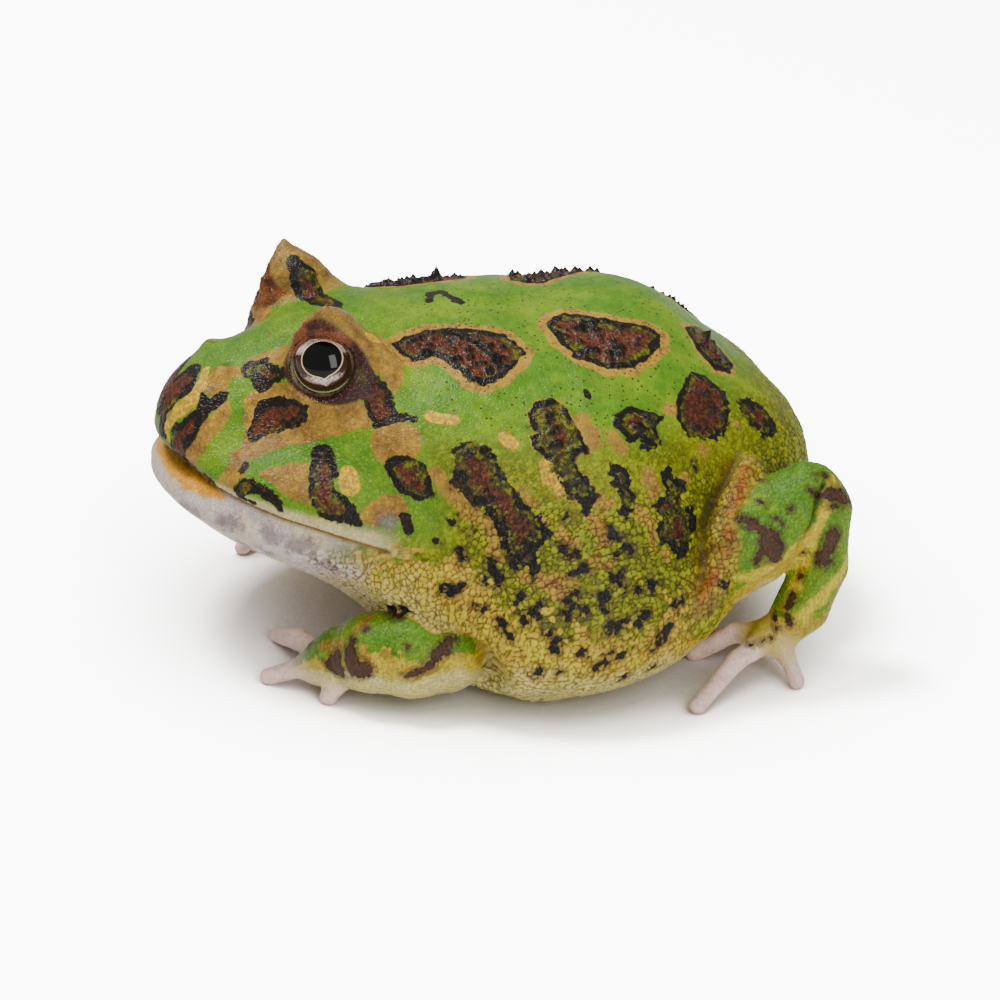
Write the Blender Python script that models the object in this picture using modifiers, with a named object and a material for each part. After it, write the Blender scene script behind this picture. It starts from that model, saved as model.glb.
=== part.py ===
"""A sitting horned frog at life size, as separate solids that meet with thin gaps.

The frog faces -X, its left side is -Y, and it rests on the floor at Z = 0.
Each solid starts as overlapping balls, is remeshed into one skin, and its points are then
settled on a smooth form that blends the same balls. Spines are fused on afterwards.
"""
import math
from collections import namedtuple

import bmesh
import bpy
import numpy as np
from mathutils import Matrix, Vector

# Driving dimensions
SNOUT_TO_VENT = 94.0      # millimetres
DRAWN_LENGTH = 94.0       # the places below are millimetres on a frog of this length
GAP = 0.3                 # between solids that meet
MM = 0.001 * SNOUT_TO_VENT / DRAWN_LENGTH
LEFT, RIGHT = -1, 1

# A ball is an ellipsoid, tilted nose up by some degrees, and a limb is a row of round cones.
# Each melts into the shapes before it over its blend.
Ball = namedtuple("Ball", "centre half_sizes tilt blend")
Limb = namedtuple("Limb", "points radii blend")

# Trunk and head, drawn for the right side and mirrored
TRUNK = (
    Ball((6.5, 0, 21.9), (31.5, 36, 22.5), 0, 0),
    Ball((6, 17, 13), (26.5, 25.5, 13), 0, 8),
    Ball((3.5, 23, 9), (19, 19, 9), 0, 6),
    Ball((-11, 0, 27.5), (20, 26, 17), 0, 9),
    Ball((19.5, 0, 31), (12, 19, 13), 12, 7),
    Ball((31, 5, 19.5), (14.5, 19, 14.5), 0, 8),
)
ARM_ROLL = Limb(((-18, 27, 17.5), (-9.5, 31.5, 16), (-3.5, 33, 10), (-0.5, 32.5, 4.5)),
                (3.2, 4.2, 4.6, 3.7), 2.5)
FLANK_FOLD = Limb(((31, 25.5, 26.5), (27.2, 31, 24), (24.8, 34.2, 20.5), (22.8, 35.8, 16),
                   (20.3, 36.8, 11)), (2.2, 2.4, 2.5, 2.4, 2.2), 2.2)
ARM_PIT = Limb(((-15.5, 35.5, 5.5), (-12.8, 36.5, 6)), (7, 7), 0)
PIT_ROUNDING = 1.5
HEAD = (
    Ball((-19.5, 0, 24.5), (24.6, 26.3, 8.5), 14, 0),
    Ball((-20, 0, 33), (16, 17, 13), 0, 6),
    Ball((-34.8, 0, 32), (9.6, 10, 9.0), 0, 5),
    Ball((-22.8, 11.2, 40.2), (6.8, 5.9, 6.2), 0, 3),
)
JAW = (
    Ball((-20.3, 0, 18.8), (26.2, 26.6, 6.6), 14, 0),
    Ball((-15, 0, 19), (20, 20, 8), 0, 6),
)
NECK_BLEND = 5.0

# Line of the mouth: level at the chin, then falling back to the corner
MOUTH_FRONT_Z = 27.7
MOUTH_CORNER = (-19.3, 21.7)
MOUTH_SLOPE = 0.283
MOUTH_BEND = 1.5
LIP_ROUNDING = 1.2
LIP_SET_BACK = 0.35       # of each lip from the mouth line
LIP_OVERLAP = 0.8         # of head and jaw behind the corner, where they are one
LIP_END_X, LIP_FADE = -18.0, 3.0
LIP_LIFT = 1.9            # how far the upper lip stands open over the chin
LIP_LIFT_START, LIP_LIFT_END = -33.0, -42.0
NECK_X, NECK_Z, NECK_TILT = -12.5, 30.0, math.radians(10)
BEYOND = 60.0             # past the frog on every side

# Eyes, and the horned lids with the ridge that frames each eye
EYE_CENTRE = (-24.0, 11.7, 42.6)
EYE_RADIUS = 4.6
GAZE = (-0.33, 0.80, 0.505)
LID_OPENING_SHIFT = 2.6
LID_OPENING_DROP = 0.9
LID_OPENING_RADIUS = 4.6
LID = (
    Limb(((-22.8, 11, 42.5), (-23.2, 11.4, 46.2), (-23.8, 12.3, 48.4), (-24.2, 13.1, 50),
          (-24.3, 13.6, 51.4)), (5.8, 4, 2.3, 1, 0.35), 0),
    Limb(((-20, 12, 43.5), (-16.4, 14.8, 40.6)), (3, 2), 2.5),
    Limb(((-28.3, 12, 40.7), (-28.4, 11.4, 42.7), (-28.2, 11, 44.7), (-27.4, 11.1, 46.5),
          (-26.2, 11.8, 48.3), (-24.7, 12.8, 49.9), (-23.2, 13.2, 49.1), (-21.4, 14, 47.5),
          (-20.2, 14.7, 45.8), (-19.4, 15.5, 44), (-19.3, 15.7, 42.1)),
         (0.5, 0.55, 0.6, 0.6, 0.6, 0.5, 0.7, 0.9, 1, 1.1, 1), 1),
)
NOSTRIL_NEAR = (-37.0, 4.6, 40.2)
NOSTRIL_RADIUS = 0.9

# Arm, drawn for the left side with Y outward; the right arm is set back and turned outward
RIGHT_ARM_BACK = 9.0
RIGHT_ARM_TURN = math.radians(32)
ARM_PIVOT = (-6, 29)
UPPER_ARM = (Limb(((-8, 20, 16), (-11, 28, 9.5)), (6.6, 5.6), 0),)
FOREARM = (Limb(((-12.6, 29.6, 7.2), (-17.1, 29.8, 7.5), (-22, 27.6, 6.9), (-25.6, 24.6, 5.4),
                 (-27.2, 23, 4.4)), (5.6, 5.9, 5.2, 4, 3.2), 0),)
WRIST = (-26.5, 22.6, 4.0)
WRIST_RADIUS = 3.0
PALM_END = (-28.1, 22.0, 3.2)
PALM_RADIUS = 2.6
FINGERS = (
    ((-27.0, 26.0, 2.0), (-27.9, 26.8, 0.9)),
    ((-30.2, 21.6, 3.2), (-34.4, 18.9, 0.9)),
    ((-29.0, 13.0, 3.0), (-30.6, 6.6, 0.9)),
    ((-24.5, 15.0, 2.6), (-21.0, 10.0, 0.9)),
)
FINGER_RADII = (1.7, 1.35, 1.15)

# Leg, drawn for the left side with Y outward
THIGH = (Limb(((31, 13, 14.5), (19, 25, 12.5)), (10.5, 7.5), 0),)
SHANK = (Limb(((19.5, 28.5, 12.5), (29, 30.8, 19.4), (37.6, 30.5, 24)), (6.6, 6.8, 4.9), 0),)
TARSUS = Limb(((39.8, 31.5, 22.6), (39.0, 33, 15), (36.2, 33.8, 9.5), (32.5, 34, 5.5)),
              (3.6, 3.6, 3.6, 2.6), 0)
TOE_ROOT = (32.6, 33.4, 5.6)
TOES = (
    ((33.5, 27.5, 3.4), (32.0, 22.6, 0.9)),
    ((30.5, 27.6, 3.6), (27.8, 23.2, 0.9)),
    ((28.2, 29.2, 4.4), (23.3, 27.0, 0.9)),
    ((26.0, 37.2, 4.4), (19.0, 42.2, 0.9)),
    ((33.4, 36.2, 3.6), (34.0, 38.8, 1.0)),
)
TOE_RADII = (2.1, 1.25, 1.1)

# Spines of the back, in fields drawn from above on the right side and mirrored
SpineField = namedtuple("SpineField", "node centre half_sizes count")
SPINE_FIELDS = (
    SpineField("head", (-12.6, 12.6), (0.9, 4.2), 3),
    SpineField("torso", (-2.2, 14.2), (6.0, 4.6), 14),
    SpineField("torso", (14.5, 13.0), (7.0, 5.0), 15),
    SpineField("torso", (29.5, 9.0), (4.2, 5.5), 10),
    SpineField("torso", (25.5, 20.5), (3.6, 3.8), 6),
)
SPINE_HEIGHTS = (0.8, 1.7)
SPINE_RADII = (1.0, 1.35)
SPINE_TIP_RADIUS = 0.12
SPINE_ROOT = 1.4          # sunk below the skin
SPINE_SPACING = 1.7
SPINE_SIDES = 5
SPINE_SEED = 12
BACK_Z = 44.0             # where the search for the skin of the back starts

# Fineness: remesh cell and triangle count of each node
FINENESS = {
    "body": (1.2, 3400),
    "lid": (0.4, 300),
    "upper_arm": (0.9, 150),
    "forearm": (0.8, 260),
    "hand": (0.45, 400),
    "thigh": (1.0, 180),
    "shank": (0.9, 260),
    "foot": (0.45, 580),
}
EYE_SEGMENTS, EYE_RINGS = 16, 10
BALLS_A_LENGTH = 7        # balls that fill each length of a limb
SETTLE_ROUNDS, RELAX_ROUNDS = 3, 3
SLOPE_REACH = 0.02        # millimetres over which the slope of the form is measured

# Colours of the flesh, eyes and limbs: red, green, blue, then roughness
FINISHES = {
    "torso": (0.20, 0.36, 0.05, 0.45),
    "head": (0.24, 0.40, 0.06, 0.40),
    "lower_jaw": (0.72, 0.66, 0.55, 0.45),
    "eyelid_horn": (0.45, 0.27, 0.08, 0.50),
    "eye": (0.04, 0.03, 0.02, 0.08),
    "upper_arm": (0.20, 0.33, 0.06, 0.45),
    "forearm": (0.20, 0.33, 0.06, 0.45),
    "hand": (0.66, 0.45, 0.36, 0.45),
    "thigh": (0.20, 0.33, 0.06, 0.45),
    "shank": (0.20, 0.33, 0.06, 0.45),
    "foot": (0.62, 0.48, 0.28, 0.45),
}


# Distances to the smooth form, for arrays of points in millimetres

def blend(first, second, width):
    """Union of two distances, melted together over a width."""
    if width == 0:
        return np.minimum(first, second)
    share = np.clip(0.5 + 0.5 * (second - first) / width, 0, 1)
    return second * (1 - share) + first * share - width * share * (1 - share)


def carve(shape, tool, width):
    """A distance with another shape taken away, its edge rounded over a width."""
    return -blend(-shape, tool, width)


def ball_distance(points, ball):
    offset = points - np.array(ball.centre)
    tilt = math.radians(ball.tilt)
    along = offset[:, 0] * math.cos(tilt) - offset[:, 2] * math.sin(tilt)
    upward = offset[:, 0] * math.sin(tilt) + offset[:, 2] * math.cos(tilt)
    local = np.stack((along, offset[:, 1], upward), axis=1)
    half = np.array(ball.half_sizes)
    near = np.linalg.norm(local / half, axis=1)
    slope = np.linalg.norm(local / half ** 2, axis=1)
    return near * (near - 1) / np.maximum(slope, 1e-9)


def limb_distance(points, limb):
    shape = None
    spots = np.array(limb.points, dtype=float)
    for start, end, wide, narrow in zip(spots[:-1], spots[1:], limb.radii[:-1], limb.radii[1:]):
        line = end - start
        along = np.clip((points - start) @ line / (line @ line), 0, 1)
        nearest = start + along[:, None] * line
        cone = np.linalg.norm(points - nearest, axis=1) - (wide + (narrow - wide) * along)
        shape = cone if shape is None else blend(shape, cone, 0.6)
    return shape


def distance(points, shapes):
    total = None
    for shape in shapes:
        measure = ball_distance if isinstance(shape, Ball) else limb_distance
        here = measure(points, shape)
        total = here if total is None else blend(total, here, shape.blend)
    return total


def on_right(points):
    """The same points with Y folded to the right side, softly at the midline."""
    folded = points.copy()
    folded[:, 1] = np.sqrt(points[:, 1] ** 2 + 0.3 ** 2)
    return folded


def set_back(shape):
    """The shape turned outward about the elbow and moved back, as the right arm is."""
    places = []
    for x, y, z in shape.points:
        ahead, outward = x - ARM_PIVOT[0], y - ARM_PIVOT[1]
        turned_x = ahead * math.cos(RIGHT_ARM_TURN) + outward * math.sin(RIGHT_ARM_TURN)
        turned_y = outward * math.cos(RIGHT_ARM_TURN) - ahead * math.sin(RIGHT_ARM_TURN)
        places.append((ARM_PIVOT[0] + turned_x + RIGHT_ARM_BACK, ARM_PIVOT[1] + turned_y, z))
    return Limb(tuple(places), shape.radii, shape.blend)


def arm_pits(points):
    """Hollows of the body that the elbows lie in."""
    left = limb_distance(points * np.array((1, LEFT, 1)), ARM_PIT)
    right = limb_distance(points * np.array((1, RIGHT, 1)), set_back(ARM_PIT))
    return np.minimum(left, right)


def mouth_height(x):
    """Height of the mouth line at each x."""
    falling = MOUTH_CORNER[1] - MOUTH_SLOPE * (x - MOUTH_CORNER[0])
    return blend(falling, np.full_like(x, MOUTH_FRONT_Z), MOUTH_BEND)


def body_distance(points):
    """Trunk, head and lower jaw, with the lips rolled in along the mouth line."""
    side = on_right(points)
    trunk = carve(distance(side, TRUNK + (ARM_ROLL, FLANK_FOLD)), arm_pits(points), PIT_ROUNDING)
    over_mouth = side[:, 2] - mouth_height(side[:, 0])
    ahead = np.clip((LIP_END_X - side[:, 0]) / LIP_FADE, 0, 1)
    lip_place = LIP_SET_BACK * ahead - LIP_OVERLAP * (1 - ahead)
    opening = np.clip((side[:, 0] - LIP_LIFT_START) / (LIP_LIFT_END - LIP_LIFT_START), 0, 1)
    lift = LIP_LIFT * opening ** 2
    head = carve(distance(side, HEAD), over_mouth - lift - lip_place, LIP_ROUNDING)
    jaw = carve(distance(side, JAW), -over_mouth - lip_place, LIP_ROUNDING)
    return blend(blend(trunk, head, NECK_BLEND), jaw, NECK_BLEND)


# Meshes

def add_object(name, mesh):
    obj = bpy.data.objects.new(name, mesh)
    PARTS.objects.link(obj)
    return obj


def add_cutter(name, mesh, collection):
    """A helper object that takes no part in the render."""
    cutter = bpy.data.objects.new(name, mesh)
    collection.objects.link(cutter)
    cutter.hide_render = True
    cutter.display_type = "WIRE"
    return cutter


def mesh_of(bm, name):
    mesh = bpy.data.meshes.new(name)
    bm.to_mesh(mesh)
    bm.free()
    return mesh


def mirrored(place, side):
    return Vector((place[0], place[1] * side, place[2])) * MM


def ball_places(shape, side):
    """Matrices that put a ball of radius 1 where it fills the shape."""
    if isinstance(shape, Ball):
        turn = Matrix.Rotation(math.radians(shape.tilt), 4, "Y")
        size = Matrix.Diagonal((*(half * MM for half in shape.half_sizes), 1))
        return [Matrix.Translation(mirrored(shape.centre, side)) @ turn @ size]
    places = []
    spots = [mirrored(point, side) for point in shape.points]
    for start, end, wide, narrow in zip(spots[:-1], spots[1:], shape.radii[:-1], shape.radii[1:]):
        for share in np.linspace(0, 1, BALLS_A_LENGTH):
            radius = (wide + (narrow - wide) * share) * MM
            place = Matrix.Translation(start.lerp(end, share))
            places.append(place @ Matrix.Diagonal((radius, radius, radius, 1)))
    return places


def rough_mesh(name, shapes, sides):
    """Overlapping balls that fill the shapes, on each side given."""
    bm = bmesh.new()
    bmesh.ops.create_icosphere(bm, subdivisions=3, radius=1)
    ball = mesh_of(bm, "ball")
    bm = bmesh.new()
    for side in sides:
        for shape in shapes:
            for place in ball_places(shape, side):
                copy = ball.copy()
                copy.transform(place)
                bm.from_mesh(copy)
                bpy.data.meshes.remove(copy)
    bpy.data.meshes.remove(ball)
    return mesh_of(bm, name)


def apply_modifiers(obj):
    graph = bpy.context.evaluated_depsgraph_get()
    mesh = bpy.data.meshes.new_from_object(obj.evaluated_get(graph))
    obj.modifiers.clear()
    old = obj.data
    obj.data = mesh
    bpy.data.meshes.remove(old)


def slope_of(points, field):
    """How a distance field rises along X, Y and Z at each point."""
    here = field(points)
    ahead = [field(points + SLOPE_REACH * axis) for axis in np.eye(3)]
    return (np.stack(ahead, axis=1) - here[:, None]) / SLOPE_REACH


def settled(points, field):
    """Points moved along the slope of a distance field until they lie on its zero."""
    for _ in range(4):
        slope = slope_of(points, field)
        steep = np.maximum((slope ** 2).sum(axis=1), 0.2)
        points = points - slope * np.clip(field(points) / steep, -2, 2)[:, None]
    return points


def settle(mesh, field):
    flat = np.empty(len(mesh.vertices) * 3)
    mesh.vertices.foreach_get("co", flat)
    points = settled(flat.reshape(-1, 3) / MM, field)
    mesh.vertices.foreach_set("co", (points * MM).ravel())
    mesh.update()


def relax(mesh):
    bm = bmesh.new()
    bm.from_mesh(mesh)
    for _ in range(RELAX_ROUNDS):
        bmesh.ops.smooth_vert(bm, verts=bm.verts, factor=0.5, use_axis_x=True, use_axis_y=True,
                              use_axis_z=True)
    bm.to_mesh(mesh)
    bm.free()


def smooth_solid(name, shapes, sides, field, cell, triangles):
    """One closed skin over the shapes, settled on the field and thinned to a triangle count."""
    obj = add_object(name, rough_mesh(name, shapes, sides))
    remesh = obj.modifiers.new("one skin", "REMESH")
    remesh.mode = "VOXEL"
    remesh.voxel_size = cell * MM
    apply_modifiers(obj)
    for _ in range(SETTLE_ROUNDS):
        relax(obj.data)
        settle(obj.data, field)
    thin = obj.modifiers.new("thin out", "DECIMATE")
    thin.ratio = triangles / (2 * len(obj.data.polygons))
    thin.use_collapse_triangulate = True
    apply_modifiers(obj)
    return obj


def cut(obj, cutters):
    """Take the cutters out of an object, one after another."""
    for cutter in cutters:
        boolean = obj.modifiers.new("cut", "BOOLEAN")
        boolean.operation = "DIFFERENCE"
        boolean.solver = "EXACT"
        boolean.object = cutter
        apply_modifiers(obj)


def grown(obj):
    """A cutter with the object's own points, moved out by the gap."""
    cutter = add_cutter(obj.name + "_room", obj.data.copy(), CUTTERS)
    for vertex in cutter.data.vertices:
        vertex.co += vertex.normal * GAP * MM
    return cutter


def neck_cutter():
    """A leaning sheet as thick as the gap, between head and torso."""
    bm = bmesh.new()
    size = Matrix.Diagonal((GAP * MM, 2 * BEYOND * MM, 2 * BEYOND * MM, 1))
    place = Matrix.Translation(mirrored((NECK_X, 0, NECK_Z), RIGHT)) @ Matrix.Rotation(NECK_TILT, 4, "Y")
    bmesh.ops.create_cube(bm, size=1, matrix=place @ size)
    return add_cutter("neck_sheet", mesh_of(bm, "neck_sheet"), CUTTERS)


def mouth_cutter():
    """A sheet as thick as the gap that follows the mouth line from the chin to the neck."""
    bm = bmesh.new()
    height_at_neck = mouth_height(np.array([NECK_X]))[0]
    neck_end = NECK_X + (height_at_neck - NECK_Z) * math.tan(NECK_TILT)
    xs = np.linspace(-BEYOND, neck_end, 24)
    rows = []
    for x, z in zip(xs, mouth_height(xs)):
        corners = ((-BEYOND, -GAP / 2), (BEYOND, -GAP / 2), (BEYOND, GAP / 2), (-BEYOND, GAP / 2))
        rows.append([bm.verts.new(Vector((x, y, z + lift)) * MM) for y, lift in corners])
    for row, following in zip(rows[:-1], rows[1:]):
        for i in range(4):
            j = (i + 1) % 4
            bm.faces.new((row[i], row[j], following[j], following[i]))
    bm.faces.new(rows[0])
    bm.faces.new(reversed(rows[-1]))
    bmesh.ops.recalc_face_normals(bm, faces=bm.faces)
    return add_cutter("mouth_sheet", mesh_of(bm, "mouth_sheet"), CUTTERS)


def loose_parts(mesh):
    """The mesh's separate surfaces as new meshes, the largest first."""
    bm = bmesh.new()
    bm.from_mesh(mesh)
    waiting = set(bm.faces)
    groups = []
    while waiting:
        stack = [waiting.pop()]
        group = {stack[0].index}
        while stack:
            crossed = [edge for edge in stack.pop().edges if edge.is_manifold]
            for edge in crossed:
                for face in edge.link_faces:
                    if face in waiting:
                        waiting.remove(face)
                        group.add(face.index)
                        stack.append(face)
        groups.append(group)
    bm.free()
    groups.sort(key=len, reverse=True)
    parts = []
    for group in groups:
        bm = bmesh.new()
        bm.from_mesh(mesh)
        others = [face for face in bm.faces if face.index not in group]
        bmesh.ops.delete(bm, geom=others, context="FACES")
        parts.append(mesh_of(bm, mesh.name))
    return parts


def keep_largest(obj):
    obj.data = loose_parts(obj.data)[0]


def flatten_on_floor(obj):
    """Cut the object level at the floor and close it with a flat."""
    bm = bmesh.new()
    bm.from_mesh(obj.data)
    bmesh.ops.bisect_plane(bm, geom=bm.verts[:] + bm.edges[:] + bm.faces[:], dist=1e-7,
                           plane_co=(0, 0, 0), plane_no=(0, 0, 1), clear_inner=True)
    rim = [edge for edge in bm.edges if edge.is_boundary]
    if rim:
        bmesh.ops.triangle_fill(bm, edges=rim, use_beauty=True, use_dissolve=False)
    bmesh.ops.recalc_face_normals(bm, faces=bm.faces)
    bm.to_mesh(obj.data)
    bm.free()


# Spines

def spine_spots(field, random):
    """Spots spread over a field seen from above, none too near another."""
    spots = []
    while len(spots) < field.count:
        spread = random.uniform(-1, 1, 2)
        spot = np.array(field.centre) + spread * np.array(field.half_sizes)
        clear = all(np.linalg.norm(spot - other) > SPINE_SPACING for other in spots)
        if np.linalg.norm(spread) < 1 and clear:
            spots.append(spot)
    return np.array(spots)


def add_spine(place, way, height, radius):
    """A cone that stands on the skin, its root sunk below it."""
    bm = bmesh.new()
    way = Vector(way).normalized()
    centre = Vector(place) + way * (height - SPINE_ROOT) / 2
    turn = way.to_track_quat("Z", "Y").to_matrix().to_4x4()
    bmesh.ops.create_cone(bm, cap_ends=True, segments=SPINE_SIDES, radius1=radius * MM,
                          radius2=SPINE_TIP_RADIUS * MM, depth=(height + SPINE_ROOT) * MM,
                          matrix=Matrix.Translation(centre * MM) @ turn)
    add_cutter("spine", mesh_of(bm, "spine"), SPINES)


def grow_spines(obj, random):
    """Fuse the spines of every field of this node onto it."""
    for field in SPINE_FIELDS:
        if field.node != obj.name:
            continue
        for side in (LEFT, RIGHT):
            spots = spine_spots(field, random)
            above = np.column_stack((spots[:, 0], spots[:, 1] * side, np.full(len(spots), BACK_Z)))
            places = settled(above, body_distance)
            ways = slope_of(places, body_distance)
            heights = random.uniform(*SPINE_HEIGHTS, len(spots))
            radii = random.uniform(*SPINE_RADII, len(spots))
            for spine in zip(places, ways, heights, radii):
                add_spine(*spine)
    union = obj.modifiers.new("spines", "BOOLEAN")
    union.operation = "UNION"
    union.operand_type = "COLLECTION"
    union.collection = SPINES
    union.solver = "EXACT"
    apply_modifiers(obj)
    keep_largest(obj)
    for spine in list(SPINES.objects):
        bpy.data.objects.remove(spine)


# Sub-parts

def side_name(name, side):
    return name + ("_left" if side == LEFT else "_right")


def limb_solid(name, shapes, side):
    """One piece of an arm or leg, drawn with Y outward."""
    cell, triangles = FINENESS[name]

    def field(points):
        return distance(points * np.array((1, side, 1)), shapes)

    obj = smooth_solid(side_name(name, side), shapes, (side,), field, cell, triangles)
    flatten_on_floor(obj)
    return obj


def digits(root, reaches, radii):
    """Fingers or toes that spread from one root, each over a knuckle to its tip."""
    return tuple(Limb((root, knuckle, tip), radii, 1.2) for knuckle, tip in reaches)


def part_limb(solids):
    """Cut each solid of a limb clear of those beyond it, and return the room that all need."""
    rooms = [grown(solid) for solid in solids]
    for i, solid in enumerate(solids[1:], start=1):
        cut(solid, rooms[:i])
        keep_largest(solid)
    return rooms


def make_arm(side):
    palm = Limb((WRIST, PALM_END), (WRIST_RADIUS, PALM_RADIUS), 0)
    shapes = {"hand": (palm,) + digits(WRIST, FINGERS, FINGER_RADII),
              "forearm": FOREARM, "upper_arm": UPPER_ARM}
    if side == RIGHT:
        shapes = {name: tuple(set_back(shape) for shape in drawn) for name, drawn in shapes.items()}
    return part_limb([limb_solid(name, drawn, side) for name, drawn in shapes.items()])


def make_leg(side):
    foot = limb_solid("foot", (TARSUS,) + digits(TOE_ROOT, TOES, TOE_RADII), side)
    shank = limb_solid("shank", SHANK, side)
    thigh = limb_solid("thigh", THIGH, side)
    return part_limb((foot, shank, thigh))


def make_eye(side):
    bm = bmesh.new()
    gaze = Vector((GAZE[0], GAZE[1] * side, GAZE[2]))
    turn = gaze.to_track_quat("Z", "Y").to_matrix().to_4x4()
    bmesh.ops.create_uvsphere(bm, u_segments=EYE_SEGMENTS, v_segments=EYE_RINGS,
                              radius=EYE_RADIUS * MM,
                              matrix=Matrix.Translation(mirrored(EYE_CENTRE, side)) @ turn)
    name = side_name("eye", side)
    return add_object(name, mesh_of(bm, name))


def eye_opening(side):
    """A ball in front of the eye that opens the lids."""
    ahead = np.array(GAZE) * LID_OPENING_SHIFT
    centre = np.array(EYE_CENTRE) + ahead - np.array((0, 0, LID_OPENING_DROP))
    bm = bmesh.new()
    bmesh.ops.create_uvsphere(bm, u_segments=EYE_SEGMENTS, v_segments=EYE_RINGS,
                              radius=LID_OPENING_RADIUS * MM,
                              matrix=Matrix.Translation(mirrored(centre, side)))
    return add_cutter("lid_opening", mesh_of(bm, "lid_opening"), CUTTERS)


def make_lid(side, eye):
    """The horned lid over an eye, and the room that it, the eye and its opening need."""
    cell, triangles = FINENESS["lid"]

    def field(points):
        return distance(points * np.array((1, side, 1)), LID)

    lid = smooth_solid(side_name("eyelid_horn", side), LID, (side,), field, cell, triangles)
    rooms = [grown(lid), grown(eye), eye_opening(side)]
    cut(lid, rooms[1:])
    keep_largest(lid)
    return rooms


def nostril_cutter(side):
    centre = settled(np.array([NOSTRIL_NEAR]), body_distance)[0]
    bm = bmesh.new()
    bmesh.ops.create_icosphere(bm, subdivisions=1, radius=NOSTRIL_RADIUS * MM,
                               matrix=Matrix.Translation(mirrored(centre, side)))
    return add_cutter("nostril", mesh_of(bm, "nostril"), CUTTERS)


def make_body(rooms):
    """Torso, head and lower jaw from one skin, parted at the neck and along the mouth."""
    cell, triangles = FINENESS["body"]
    shapes = TRUNK + (ARM_ROLL, FLANK_FOLD) + HEAD + JAW
    body = smooth_solid("body", shapes, (LEFT, RIGHT), body_distance, cell, triangles)
    flatten_on_floor(body)
    nostrils = [nostril_cutter(side) for side in (LEFT, RIGHT)]
    cut(body, rooms + nostrils + [mouth_cutter(), neck_cutter()])
    pieces = loose_parts(body.data)[:3]
    bpy.data.objects.remove(body)
    torso_mesh = max(pieces, key=lambda mesh: max(vertex.co.x for vertex in mesh.vertices))
    front = [mesh for mesh in pieces if mesh is not torso_mesh]
    front.sort(key=lambda mesh: max(vertex.co.z for vertex in mesh.vertices))
    random = np.random.default_rng(SPINE_SEED)
    for name, mesh in (("torso", torso_mesh), ("head", front[1])):
        grow_spines(add_object(name, mesh), random)
    add_object("lower_jaw", front[0])


def finish(obj):
    kind = obj.name.replace("_left", "").replace("_right", "")
    red, green, blue, roughness = FINISHES[kind]
    material = bpy.data.materials.new(obj.name)
    material.use_nodes = True
    shader = material.node_tree.nodes["Principled BSDF"]
    shader.inputs["Base Color"].default_value = (red, green, blue, 1)
    shader.inputs["Roughness"].default_value = roughness
    shader.inputs["Metallic"].default_value = 0.0
    obj.data.materials.clear()
    obj.data.materials.append(material)
    obj.data.shade_smooth()


for old in list(bpy.data.objects):
    bpy.data.objects.remove(old)
PARTS = bpy.data.collections.new("horned_frog")
CUTTERS = bpy.data.collections.new("cutters")
SPINES = bpy.data.collections.new("spines")
for collection in (PARTS, CUTTERS, SPINES):
    bpy.context.scene.collection.children.link(collection)

rooms = []
for side in (LEFT, RIGHT):
    rooms += make_arm(side)
    rooms += make_leg(side)
    rooms += make_lid(side, make_eye(side))
make_body(rooms)
for cutter in list(CUTTERS.objects):
    bpy.data.objects.remove(cutter)
for part in PARTS.objects:
    finish(part)
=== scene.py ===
"""Skin, eyes and light for a sitting horned frog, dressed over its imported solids.

The frog faces -X, its left side is -Y and it rests on the floor at Z = 0. Places and sizes
below are millimetres on the frog. Its skin is settled on the same smooth form as the solids,
then raised and sunk where the real skin has folds, warts and grains.
"""

import itertools
import math
from collections import namedtuple

import bmesh
import bpy
import numpy as np
from mathutils import Matrix, Vector


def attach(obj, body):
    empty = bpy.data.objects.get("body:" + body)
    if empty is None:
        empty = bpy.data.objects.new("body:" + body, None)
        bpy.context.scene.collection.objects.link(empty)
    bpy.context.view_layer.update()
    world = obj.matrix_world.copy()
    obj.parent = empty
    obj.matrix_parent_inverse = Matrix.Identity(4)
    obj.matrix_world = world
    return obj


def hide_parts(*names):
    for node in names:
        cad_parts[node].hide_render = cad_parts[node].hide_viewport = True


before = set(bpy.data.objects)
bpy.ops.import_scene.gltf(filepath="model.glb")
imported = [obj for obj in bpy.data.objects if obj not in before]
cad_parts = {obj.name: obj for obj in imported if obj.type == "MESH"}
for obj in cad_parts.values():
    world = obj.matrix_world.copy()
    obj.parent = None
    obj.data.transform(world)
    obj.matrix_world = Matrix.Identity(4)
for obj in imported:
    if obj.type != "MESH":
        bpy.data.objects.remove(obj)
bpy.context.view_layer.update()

MM = 0.001
LEFT, RIGHT = -1, 1
FAR = 8.0                 # a limb further off than this doesn't matter
CONE_BLEND = 0.6          # of the round cones in one limb
KNUCKLE_BLEND = 1.2       # of fingers and toes with the hand or foot
MIDLINE_SOFTNESS = 0.3    # of the crease where the mirrored halves meet

# A ball is an ellipsoid, tilted nose up by some degrees, and a limb is a row of round cones.
# Each melts into the shapes before it over its blend.
Ball = namedtuple("Ball", "centre half_sizes tilt blend")
Limb = namedtuple("Limb", "points radii blend")

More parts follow.
